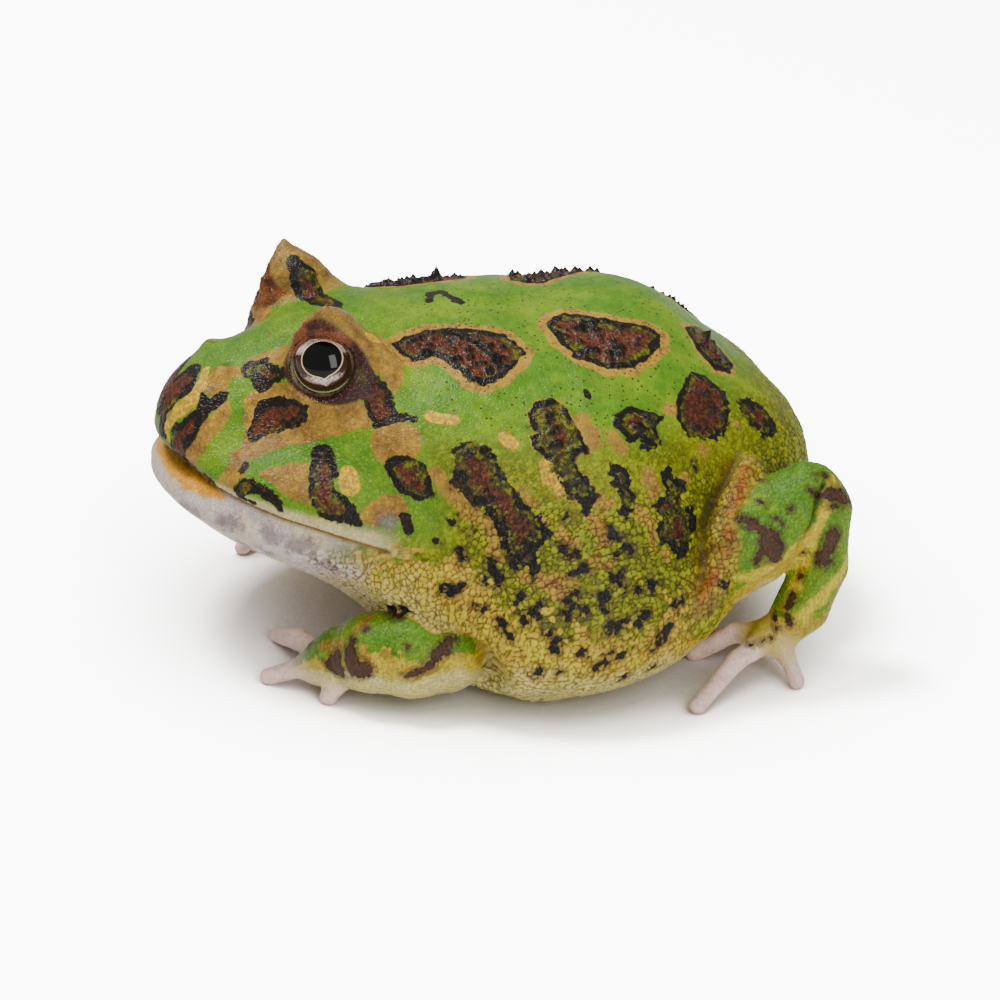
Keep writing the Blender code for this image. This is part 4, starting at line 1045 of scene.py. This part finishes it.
def shape_skin(skin):
    """Raise and sink the smooth skin, and note on its points what lies where."""
    points = read_points(skin.data)
    normals = read_normals(skin.data)
    left = on_left(points)
    x, z = points[:, 0], points[:, 2]
    area = skin_areas(points, normals)
    body = 1 - area["limb"]

    height, number, crevice = grain_relief(points, area)
    patch, markings = skin_markings(points, normals, area, number)
    wart = wart_relief(points)
    height += WART_HEIGHT * wart
    spike = spike_relief(points, patch, area["head"])
    height += spike

    # Broad unevenness, lines, the mouth, the surround of the eye and the nostrils
    height += (0.35 * (noise(points, 6.0, 41) - 0.5)
               + 0.14 * (noise(points, 2.2, 42) - 0.5) * (1 - area["digit"]))
    height += 0.1 * (noise(points, 0.9, 43) - 0.5) * area["head"] * (1 - area["hood"])
    for line in SKIN_LINES:
        height -= line.depth * np.exp(-(line_distance(left, line.places) / line.width) ** 2)
    over_mouth = z - mouth_height(x)
    inner = -body_distance(points) + 1.0
    groove = np.exp(-(over_mouth / MOUTH_GROOVE_WIDTH) ** 2) * (1 - ramp(x, -20.5, -18.5)) * body
    height -= MOUTH_GROOVE * groove * ramp(inner, 0.5, 1.0)
    eye = np.linalg.norm(on_right(points) - np.array(EYE_CENTRE), axis=1) - EYE_RADIUS
    rim = np.exp(-((eye - 0.25) / 0.22) ** 2) * (eye > -0.2) * body
    height += LID_RIM_HEIGHT * rim
    height += 0.07 * np.sin(eye * 8) * area["hood"]
    nostril = np.linalg.norm(left - np.array(NOSTRIL), axis=1)
    bump = np.linalg.norm(left - np.array(NOSTRIL_BUMP), axis=1)
    rise = NOSTRIL_RISE * np.exp(-(bump / NOSTRIL_RISE_WIDTH) ** 2)
    height += rise - NOSTRIL_DEPTH * np.exp(-(nostril / NOSTRIL_WIDTH) ** 2)
    height *= ramp(z, 0.0, FLOOR_EASE)

    moved = points + normals * height[:, None]
    moved[:, 2] = np.where(z < FLAT_TOP, z, np.maximum(moved[:, 2], FLAT_TOP))
    write_points(skin.data, moved)

    to_crest = line_distance(left, FOLD_CREST)
    # Where shade is painted in the flank groove and the knee crease
    hollow = np.exp(-(line_distance(left, FLANK_GROOVE) / 0.7) ** 2) * body
    hollow = np.maximum(hollow, np.exp(-(line_distance(left, KNEE_CREASE) / 0.35) ** 2))
    notes = dict(
        area, **markings, pebble=number, crevice=crevice, hollow=hollow,
        crest=np.exp(-(to_crest / 0.6) ** 2) * body, strip=np.exp(-(to_crest / 3.0) ** 4) * body,
        wart=ramp(wart, 0.1, 0.7), spike=ramp(spike, 0.1, 0.35), groove=groove, rim=rim,
        nostril=np.exp(-(nostril / 0.6) ** 2))
    put_notes(skin.data, {name: notes[name] for name in SKIN_NOTES})
    skin.data.shade_smooth()


# Materials

class Shader:
    """A material's or a group's node tree, with short ways to add and join nodes."""

    def __init__(self, tree):
        self.tree = tree

    def node(self, kind, values=None, **settings):
        node = self.tree.nodes.new(kind)
        for name, value in settings.items():
            setattr(node, name, value)
        for name, value in (values or {}).items():
            self.put(node.inputs[name], value)
        return node

    def put(self, socket, value):
        if isinstance(value, bpy.types.NodeSocket):
            self.tree.links.new(value, socket)
        else:
            socket.default_value = value

    def math(self, operation, *values, clamp=False):
        node = self.node("ShaderNodeMath", operation=operation, use_clamp=clamp)
        for socket, value in zip(node.inputs, values):
            self.put(socket, value)
        return node.outputs[0]

    def ramp(self, value, start, end):
        node = self.node("ShaderNodeMapRange", {"Value": value, "From Min": start, "From Max": end},
                         interpolation_type="SMOOTHSTEP")
        return node.outputs["Result"]

    def mix(self, share, first, second):
        node = self.node("ShaderNodeMix", data_type="RGBA")
        self.put(node.inputs["Factor"], share)
        self.put(node.inputs["A"], first)
        self.put(node.inputs["B"], second)
        return node.outputs["Result"]

    def note(self, name):
        return self.node("ShaderNodeAttribute", attribute_name=name).outputs["Fac"]

    def group(self, group, **values):
        node = self.node("ShaderNodeGroup", node_tree=group)
        for name, value in values.items():
            self.put(node.inputs[name.replace("_", " ")], value)
        return node.outputs


def new_group(name, inputs, outputs):
    """An empty node group with number sockets, and its shader helper."""
    tree = bpy.data.node_groups.new(name, "ShaderNodeTree")
    for socket, value in inputs.items():
        made = tree.interface.new_socket(name=socket, in_out="INPUT", socket_type="NodeSocketFloat")
        made.default_value = value
    for socket in outputs:
        tree.interface.new_socket(name=socket, in_out="OUTPUT", socket_type="NodeSocketFloat")
    made = Shader(tree)
    return made, made.node("NodeGroupInput").outputs, made.node("NodeGroupOutput").inputs


def ragged_edge_group():
    """Where a distance is below an edge, with the edge broken up by grains."""
    made, given, result = new_group(
        "ragged edge", {"Distance": 0, "Edge": 0, "Softness": 0.1, "Raggedness": 0.6, "Grain": 900},
        ("Inside",))
    place = made.node("ShaderNodeTexCoord").outputs["Object"]
    grains = made.node("ShaderNodeTexNoise", {"Vector": place, "Scale": given["Grain"], "Detail": 3.0,
                                              "Roughness": 0.65}).outputs["Fac"]
    push = made.math("MULTIPLY", made.math("SUBTRACT", grains, 0.5), given["Raggedness"])
    away = made.math("SUBTRACT", made.math("ADD", given["Distance"], push), given["Edge"])
    share = made.math("DIVIDE", away, given["Softness"])
    made.put(result["Inside"], made.ramp(share, 1.0, -1.0))
    return made.tree


def dots_group():
    """Small round dots, scattered, some left out."""
    made, given, result = new_group("dots", {"Scale": 900, "Size": 0.2, "Share": 0.5}, ("Mask",))
    place = made.node("ShaderNodeTexCoord").outputs["Object"]
    spots = made.node("ShaderNodeTexVoronoi", {"Vector": place, "Scale": given["Scale"]})
    dot = made.math("LESS_THAN", spots.outputs["Distance"], given["Size"])
    number = made.node("ShaderNodeSeparateColor", {"Color": spots.outputs["Color"]}).outputs["Red"]
    kept = made.math("LESS_THAN", number, given["Share"])
    made.put(result["Mask"], made.math("MULTIPLY", dot, kept))
    return made.tree


def grain_group():
    """Height of fine grains packed side by side, and the painted shade in the lines between them."""
    made, given, result = new_group("fine grain", {"Scale": 2000}, ("Height", "Lines"))
    place = made.node("ShaderNodeTexCoord").outputs["Object"]
    bend = made.node("ShaderNodeTexNoise", {"Vector": place, "Scale": given["Scale"], "Detail": 1.0})
    shift = made.node("ShaderNodeVectorMath", operation="SCALE")
    made.put(shift.inputs[0], bend.outputs["Color"])
    shift.inputs["Scale"].default_value = 0.0003
    moved = made.node("ShaderNodeVectorMath", operation="ADD")
    made.put(moved.inputs[0], place)
    made.put(moved.inputs[1], shift.outputs[0])
    cells = made.node("ShaderNodeTexVoronoi", {"Vector": moved.outputs[0], "Scale": given["Scale"]},
                      feature="DISTANCE_TO_EDGE")
    made.put(result["Height"], made.ramp(cells.outputs["Distance"], 0.0, 0.35))
    made.put(result["Lines"], made.ramp(cells.outputs["Distance"], 0.12, 0.0))
    return made.tree


def new_material(name):
    material = bpy.data.materials.new(name)
    material.use_nodes = True
    made = Shader(material.node_tree)
    return material, made, material.node_tree.nodes["Principled BSDF"]


def colour(red, green, blue):
    return (red, green, blue, 1.0)


# Skin colours
LEAF = colour(0.105, 0.27, 0.009)
LIGHT_LEAF = colour(0.21, 0.36, 0.007)
LIME = colour(0.29, 0.32, 0.003)
DEEP_LIME = colour(0.16, 0.18, 0.002)
YELLOW = colour(0.68, 0.56, 0.03)
OCHRE = colour(0.50, 0.35, 0.03)
CREAM = colour(0.74, 0.67, 0.30)
TAN = colour(0.27, 0.135, 0.032)
GOLD = colour(0.50, 0.30, 0.03)
RUST = colour(0.42, 0.12, 0.012)
BLACK = colour(0.011, 0.008, 0.006)
OLIVE = colour(0.045, 0.040, 0.006)
RED_BROWN = colour(0.06, 0.014, 0.005)
WHITE_SKIN = colour(0.68, 0.57, 0.53)
LAVENDER = colour(0.24, 0.17, 0.18)
LIP_CREAM = colour(0.74, 0.62, 0.30)
ORANGE = colour(0.80, 0.36, 0.02)
STRIPE_YELLOW = colour(0.90, 0.58, 0.004)
PINK = colour(0.98, 0.70, 0.60)
LID_TAN = colour(0.36, 0.20, 0.045)
BRICK = colour(0.14, 0.036, 0.014)
MARK_BROWN = colour(0.085, 0.038, 0.016)
UMBER = colour(0.040, 0.021, 0.008)
HOOD_RUST = colour(0.22, 0.065, 0.018)
# Dark skin round the eye, also painted as shade in the nostril pits
SOCKET_AND_NOSTRIL_SHADE = colour(0.055, 0.018, 0.012)
RIM_GREY = colour(0.20, 0.17, 0.09)
# Painted shade, multiplied into the colour between the grains, in the mouth groove and in the creases
PAINTED_CREVICE_SHADE = colour(0.30, 0.22, 0.08)


def skin_material(ragged, dots, fine):
    material, made, shader = new_material("frog_skin")
    place = made.node("ShaderNodeTexCoord").outputs["Object"]
    note = {name: made.note(name) for name in SKIN_NOTES}

    def mottle(scale, detail=3.0):
        return made.node("ShaderNodeTexNoise", {"Vector": place, "Scale": scale,
                                                "Detail": detail}).outputs["Fac"]

    def inside(distance, edge=0.0, softness=0.1, raggedness=0.3, grain=1500.0):
        return made.group(ragged, Distance=distance, Edge=edge, Softness=softness,
                          Raggedness=raggedness, Grain=grain)["Inside"]

    def both(*shares):
        result = shares[0]
        for share in shares[1:]:
            result = made.math("MULTIPLY", result, share)
        return result

    def but(share):
        return made.math("SUBTRACT", 1.0, share)

    broad, middle, small, tiny = mottle(130.0), mottle(420.0), mottle(1600.0), mottle(4000.0, 2.0)
    pebble = note["pebble"]

    # Ground: green above, lime on the flank, yellow and cream below
    green = made.mix(made.ramp(broad, 0.42, 0.7), LEAF, LIGHT_LEAF)
    green = made.mix(both(made.ramp(middle, 0.45, 0.75), 0.5), green, LIGHT_LEAF)
    lime = made.mix(made.ramp(made.math("ADD", both(pebble, 0.35), broad), 0.42, 0.85),
                    DEEP_LIME, LIME)
    upper = made.math("MAXIMUM", note["back"], made.math("MAXIMUM", note["head"], note["limb"]))
    base = made.mix(upper, lime, green)
    yellow = made.mix(made.ramp(made.math("ADD", both(pebble, 0.6), broad), 0.6, 0.95),
                      YELLOW, OCHRE)
    push = both(made.math("SUBTRACT", pebble, 0.5), 0.7)
    base = made.mix(made.ramp(made.math("ADD", note["belly"], push), 0.35, 0.65), base, yellow)
    pale = made.mix(both(pebble, 0.5), CREAM, YELLOW)
    push = both(made.math("SUBTRACT", pebble, 0.5), 0.3)
    base = made.mix(made.ramp(made.math("ADD", note["cream"], push), 0.15, 0.95), base, pale)
    base = made.mix(both(note["strip"], 0.75), base, made.mix(pebble, TAN, OCHRE))

    # Tan areas, lids, jaw, fold, toes, warts and yellow strokes
    golden = made.mix(made.ramp(middle, 0.4, 0.62), TAN, GOLD)
    tanned = made.mix(made.ramp(small, 0.35, 0.65), golden, made.mix(0.5, TAN, GOLD))
    side_tan = made.mix(pebble, OCHRE, TAN)
    loose = both(but(note["back"]), but(note["head"]))
    base = made.mix(inside(note["tan"], 0.15, 0.2), base, made.mix(loose, tanned, side_tan))
    base = made.mix(inside(note["limb_yellow"], 0.1, 0.4), base, YELLOW)
    lidded = made.mix(made.ramp(small, 0.4, 0.6), LID_TAN, golden)
    base = made.mix(both(note["lid"], 0.95), base, lidded)
    base = made.mix(note["lip"], base, LIP_CREAM)
    chin = made.mix(made.ramp(broad, 0.4, 0.7), WHITE_SKIN, LIP_CREAM)
    base = made.mix(note["jaw"], base, chin)
    # Lavender clouds of the jaw, and painted shade at the mouth's corner
    base = made.mix(both(inside(note["cloud_and_shade"], 0.2, 0.7, 0.8, 700.0), 0.7), base, LAVENDER)
    base = made.mix(note["gum"], base, ORANGE)
    base = made.mix(both(note["crest"], made.ramp(middle, 0.3, 0.5)), base, RUST)
    base = made.mix(note["tip"], base, PINK)
    warted = made.mix(made.ramp(note["wart"], 0.6, 1.0), TAN, GOLD)
    base = made.mix(both(note["wart"], 0.8), base, warted)
    gilded = made.mix(made.ramp(small, 0.36, 0.62), STRIPE_YELLOW, GOLD)
    base = made.mix(inside(note["yellow"], 0.0, 0.12), base, gilded)

    # Patches: halo, dots of the back, core and black border
    haloed = inside(made.math("SUBTRACT", note["patch"], note["halo"]), 0.0, 0.15, 0.25)
    haloed = both(haloed, made.ramp(note["halo"], 0.05, 0.2))
    base = made.mix(haloed, base, made.mix(made.ramp(small, 0.4, 0.6), tanned, GOLD))
    speck = made.group(dots, Scale=1150.0, Size=0.2, Share=0.85)["Mask"]
    speck = both(speck, note["back"], but(note["head"]), made.ramp(broad, 0.36, 0.46))
    base = made.mix(both(speck, 0.9), base, UMBER)
    deep = made.math("ADD", both(made.math("ADD", note["patch"], 1.1), -0.35), note["red"])
    reddish = made.ramp(made.math("ADD", deep, made.math("SUBTRACT", middle, 0.5)), 0.4, 0.7)
    core = made.mix(reddish, made.mix(made.ramp(small, 0.45, 0.65), OLIVE, DEEP_LIME),
                    made.mix(made.ramp(small, 0.42, 0.62), RED_BROWN, BRICK))
    core = made.mix(both(made.ramp(tiny, 0.55, 0.7), 0.35), core, TAN)
    base = made.mix(inside(note["patch"], 0.05), base, core)
    base = made.mix(inside(note["border"], 0.0, 0.1, 0.6), base, BLACK)

    # Loose dark marks, spikes, the bare skin round the eye, and painted shade in the nostrils
    stained = both(inside(note["dark"], 0.55, 0.35), loose, 0.6)
    base = made.mix(stained, base, MARK_BROWN)
    marked = made.math("ADD", both(pebble, 0.4), both(small, 0.6))
    marked = made.mix(made.ramp(marked, 0.5, 0.62), BLACK, UMBER)
    brown = made.mix(made.ramp(small, 0.42, 0.6), UMBER, MARK_BROWN)
    brown = made.mix(inside(note["dark"], -0.4, 0.15), brown, MARK_BROWN)
    base = made.mix(inside(note["dark"], 0.0), base, made.mix(note["limb"], marked, brown))
    base = made.mix(note["spike"], base, BLACK)
    hooded = made.mix(made.ramp(made.math("ADD", middle, both(note["uphill"], 0.15)), 0.45, 0.7),
                      SOCKET_AND_NOSTRIL_SHADE, HOOD_RUST)
    hooded = made.mix(note["uphill"], SOCKET_AND_NOSTRIL_SHADE, hooded)
    base = made.mix(note["bare"], base, hooded)
    base = made.mix(both(note["rim"], but(note["uphill"])), base, RIM_GREY)
    # Painted shade in the nostril pits
    base = made.mix(both(note["nostril"], 0.9), base, SOCKET_AND_NOSTRIL_SHADE)

    # Painted shade between the grains, in the mouth groove and in the creases of flank and knee, then
    # the moist gloss
    grains = made.group(fine, Scale=1900.0)
    lines = both(grains["Lines"], made.math("ADD", 0.12, both(note["head"], 0.3)))
    lines = made.math("MAXIMUM", note["crevice"], lines)
    lines = made.math("MAXIMUM", lines, made.math("MAXIMUM", note["groove"], note["hollow"]))
    shade = made.mix(1.0, base, PAINTED_CREVICE_SHADE)
    shade.node.blend_type = "MULTIPLY"
    tone = made.math("ADD", 0.62, made.math("ADD", both(pebble, 0.26), both(middle, 0.5)))
    grey = made.node("ShaderNodeCombineColor", {"Red": tone, "Green": tone, "Blue": tone})
    toned = made.mix(1.0, base, grey.outputs["Color"])
    toned.node.blend_type = "MULTIPLY"
    made.put(shader.inputs["Base Color"], made.mix(lines, toned, shade))

    dull = made.math("ADD", 0.26, both(small, 0.2))
    dull = made.math("SUBTRACT", dull, both(note["bare"], 0.2))
    made.put(shader.inputs["Roughness"], made.math("ADD", dull, both(note["crevice"], 0.2)))
    shader.inputs["Specular IOR Level"].default_value = 0.25
    shader.inputs["Subsurface Weight"].default_value = 0.06
    shader.inputs["Subsurface Radius"].default_value = (1.0, 0.5, 0.3)
    shader.inputs["Subsurface Scale"].default_value = 0.0006
    bump = made.node("ShaderNodeBump", {"Height": made.math("ADD", grains["Height"], both(tiny, 0.8)),
                                        "Strength": 0.5, "Distance": 0.00011})
    made.put(shader.inputs["Normal"], bump.outputs["Normal"])
    return material


# Eyes

PUPIL = (0.617, 0.534)    # half width and half height, in radians round the eye
LIMBUS = 1.12             # pale line round the iris, in radians from the gaze
PEARL = colour(0.80, 0.66, 0.60)
PEARL_SHADE = colour(0.42, 0.28, 0.22)
RING = colour(0.88, 0.62, 0.34)
IRIS_BROWN = colour(0.045, 0.016, 0.006)
LIMBUS_PALE = colour(0.52, 0.50, 0.26)
OUTER_OLIVE = colour(0.05, 0.045, 0.02)
PUPIL_BLACK = colour(0.004, 0.0035, 0.003)


def make_eye(name, side, material):
    """An eyeball turned to its gaze, with angles round the eye noted on its points."""
    gaze, tailward, uphill = (way * np.array((1, side, 1)) for way in eye_ways())
    bm = bmesh.new()
    turn = Vector(gaze).to_track_quat("Z", "Y").to_matrix().to_4x4()
    bmesh.ops.create_uvsphere(bm, u_segments=96, v_segments=64, radius=EYE_RADIUS * MM,
                              matrix=Matrix.Translation(mirrored(EYE_CENTRE, side)) @ turn)
    mesh = bpy.data.meshes.new(name)
    bm.to_mesh(mesh)
    bm.free()
    away = read_points(mesh) - np.array(EYE_CENTRE) * np.array((1, side, 1))
    away /= np.linalg.norm(away, axis=1, keepdims=True)
    angle = np.arccos(np.clip(away @ gaze, -1, 1))
    across, rise = away @ tailward, away @ uphill
    length = np.maximum(np.hypot(across, rise), 1e-6)
    across, rise = across / length * angle, rise / length * angle
    notch = 0.06 * np.exp(-(across / 0.1) ** 2) * (rise < 0)
    pupil = np.hypot(across / PUPIL[0], rise / (PUPIL[1] + notch))
    put_notes(mesh, dict(angle=angle, across=across, rise=rise, pupil=pupil))
    mesh.shade_smooth()
    mesh.materials.append(material)
    obj = new_piece(name, mesh)
    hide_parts(name)
    return obj


def eye_material():
    material, made, shader = new_material("frog_eye")
    place = made.node("ShaderNodeTexCoord").outputs["Object"]
    note = {name: made.note(name) for name in ("angle", "across", "rise", "pupil")}
    streaks = made.node("ShaderNodeTexNoise",
                        {"Vector": place, "Scale": 2600.0, "Detail": 4.0}).outputs["Fac"]
    slant = made.math("ADD", note["rise"], made.math("MULTIPLY", note["across"], 0.12))
    slant = made.math("ADD", slant, made.math("MULTIPLY", made.math("SUBTRACT", streaks, 0.5), 0.5))
    slant = made.math("ADD", slant, 0.15)
    band = made.ramp(made.math("ABSOLUTE", slant), 0.46, 0.28)
    iris = made.mix(made.ramp(streaks, 0.35, 0.65), PEARL, PEARL_SHADE)
    iris = made.mix(band, iris, IRIS_BROWN)
    reach = made.math("ADD", 1.42, made.math("MULTIPLY", made.ramp(note["rise"], 0.0, 0.4), 0.4))
    outer = made.ramp(made.math("SUBTRACT", note["pupil"], reach), -0.12, 0.12)
    iris = made.mix(outer, iris, IRIS_BROWN)
    iris = made.mix(made.ramp(note["angle"], LIMBUS - 0.2, LIMBUS - 0.02), iris, OUTER_OLIVE)
    from_limbus = made.math("ABSOLUTE", made.math("SUBTRACT", note["angle"], LIMBUS))
    iris = made.mix(made.ramp(from_limbus, 0.055, 0.015), iris, LIMBUS_PALE)
    iris = made.mix(made.ramp(note["angle"], LIMBUS + 0.05, LIMBUS + 0.2), iris, OUTER_OLIVE)
    iris = made.mix(made.ramp(note["pupil"], 1.09, 1.05), iris, RING)
    iris = made.mix(made.ramp(note["pupil"], 1.02, 0.99), iris, PUPIL_BLACK)
    made.put(shader.inputs["Base Color"], iris)
    shader.inputs["Roughness"].default_value = 0.3
    shader.inputs["Specular IOR Level"].default_value = 0.0
    shader.inputs["Coat Weight"].default_value = 1.0
    shader.inputs["Coat IOR"].default_value = 1.35
    shader.inputs["Coat Roughness"].default_value = 0.01
    return material


# The dressed frog

ragged = ragged_edge_group()
dots = dots_group()
fine = grain_group()
skin = make_skin()
shape_skin(skin)
skin.data.materials.append(skin_material(ragged, dots, fine))
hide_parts(*[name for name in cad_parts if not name.startswith("eye_")])
looking = eye_material()
for side, word in ((LEFT, "left"), (RIGHT, "right")):
    make_eye("eye_" + word, side, looking)


# Floor, light and camera

FLOOR_WHITE = colour(0.93, 0.93, 0.93)
FLOOR_SEEN = colour(8.0, 8.0, 8.05)      # how bright the camera sees it, as white paper is exposed
FLOOR_SHADOW_SEEN = colour(0.70, 0.66, 0.66)   # painted shadow: how dark the camera sees it close under the frog
UNDER_REACH = 0.038                      # metres from the frog in which the painted shadow darkens the floor
SKY = colour(0.97, 0.98, 1.0)
SKY_STRENGTH = 0.38
AIM = Vector((0, 0, 0.02))               # where the lights look

# The photograph's camera: half a metre off, a little to the front of the left side
CAMERA_AZIMUTH, CAMERA_ELEVATION = math.radians(-15), math.radians(24)
CAMERA_DISTANCE = 0.5
CAMERA_TARGET = Vector((3.0, 0, 14.6)) * MM
CAMERA_LENS, CAMERA_SENSOR = 127.8, 36.0


def make_floor():
    bm = bmesh.new()
    bmesh.ops.create_grid(bm, x_segments=2, y_segments=2, size=3.0)
    mesh = bpy.data.meshes.new("floor")
    bm.to_mesh(mesh)
    bm.free()
    floor = bpy.data.objects.new("floor", mesh)
    bpy.context.scene.collection.objects.link(floor)
    material, made, shader = new_material("floor_paper")
    seen = made.node("ShaderNodeLightPath").outputs["Is Camera Ray"]
    # Painted shadow: the floor the camera sees darkens where the frog hides the sky from it
    open_sky = made.node("ShaderNodeAmbientOcclusion", {"Distance": UNDER_REACH}, samples=8)
    paper = made.mix(made.ramp(open_sky.outputs["AO"], 0.25, 1.0), FLOOR_SHADOW_SEEN, FLOOR_SEEN)
    made.put(shader.inputs["Base Color"], made.mix(seen, FLOOR_WHITE, paper))
    shader.inputs["Roughness"].default_value = 0.8
    shader.inputs["Specular IOR Level"].default_value = 0.0
    mesh.materials.append(material)


def add_light(name, place, width, height, power, tint):
    """A soft light that looks at the frog."""
    data = bpy.data.lights.new(name, "AREA")
    data.shape = "RECTANGLE"
    data.size = width
    data.size_y = height
    data.energy = power
    data.color = tint
    light = bpy.data.objects.new(name, data)
    light.location = place
    light.rotation_mode = "QUATERNION"
    light.rotation_quaternion = (AIM - Vector(place)).to_track_quat("-Z", "Y")
    bpy.context.scene.collection.objects.link(light)


def make_camera():
    level = math.cos(CAMERA_ELEVATION)
    back = Vector((math.sin(CAMERA_AZIMUTH) * level, -math.cos(CAMERA_AZIMUTH) * level,
                   math.sin(CAMERA_ELEVATION)))
    data = bpy.data.cameras.new("camera")
    data.sensor_width = CAMERA_SENSOR
    data.lens = CAMERA_LENS
    data.clip_start = 0.01
    camera = bpy.data.objects.new("camera", data)
    camera.location = CAMERA_TARGET + back * CAMERA_DISTANCE
    camera.rotation_mode = "QUATERNION"
    camera.rotation_quaternion = (-back).to_track_quat("-Z", "Y")
    bpy.context.scene.collection.objects.link(camera)
    bpy.context.scene.camera = camera


def make_sky():
    world = bpy.data.worlds.new("studio")
    world.use_nodes = True
    sky = world.node_tree.nodes["Background"].inputs
    sky["Color"].default_value = SKY
    sky["Strength"].default_value = SKY_STRENGTH
    bpy.context.scene.world = world


make_floor()
make_sky()
add_light("key", (-0.26, 0.24, 0.83), 0.22, 0.22, 7.0, (1.0, 0.99, 0.97))
add_light("fill", (0.21, -1.03, 0.57), 0.45, 0.9, 8.0, (1.0, 1.0, 1.0))
make_camera()
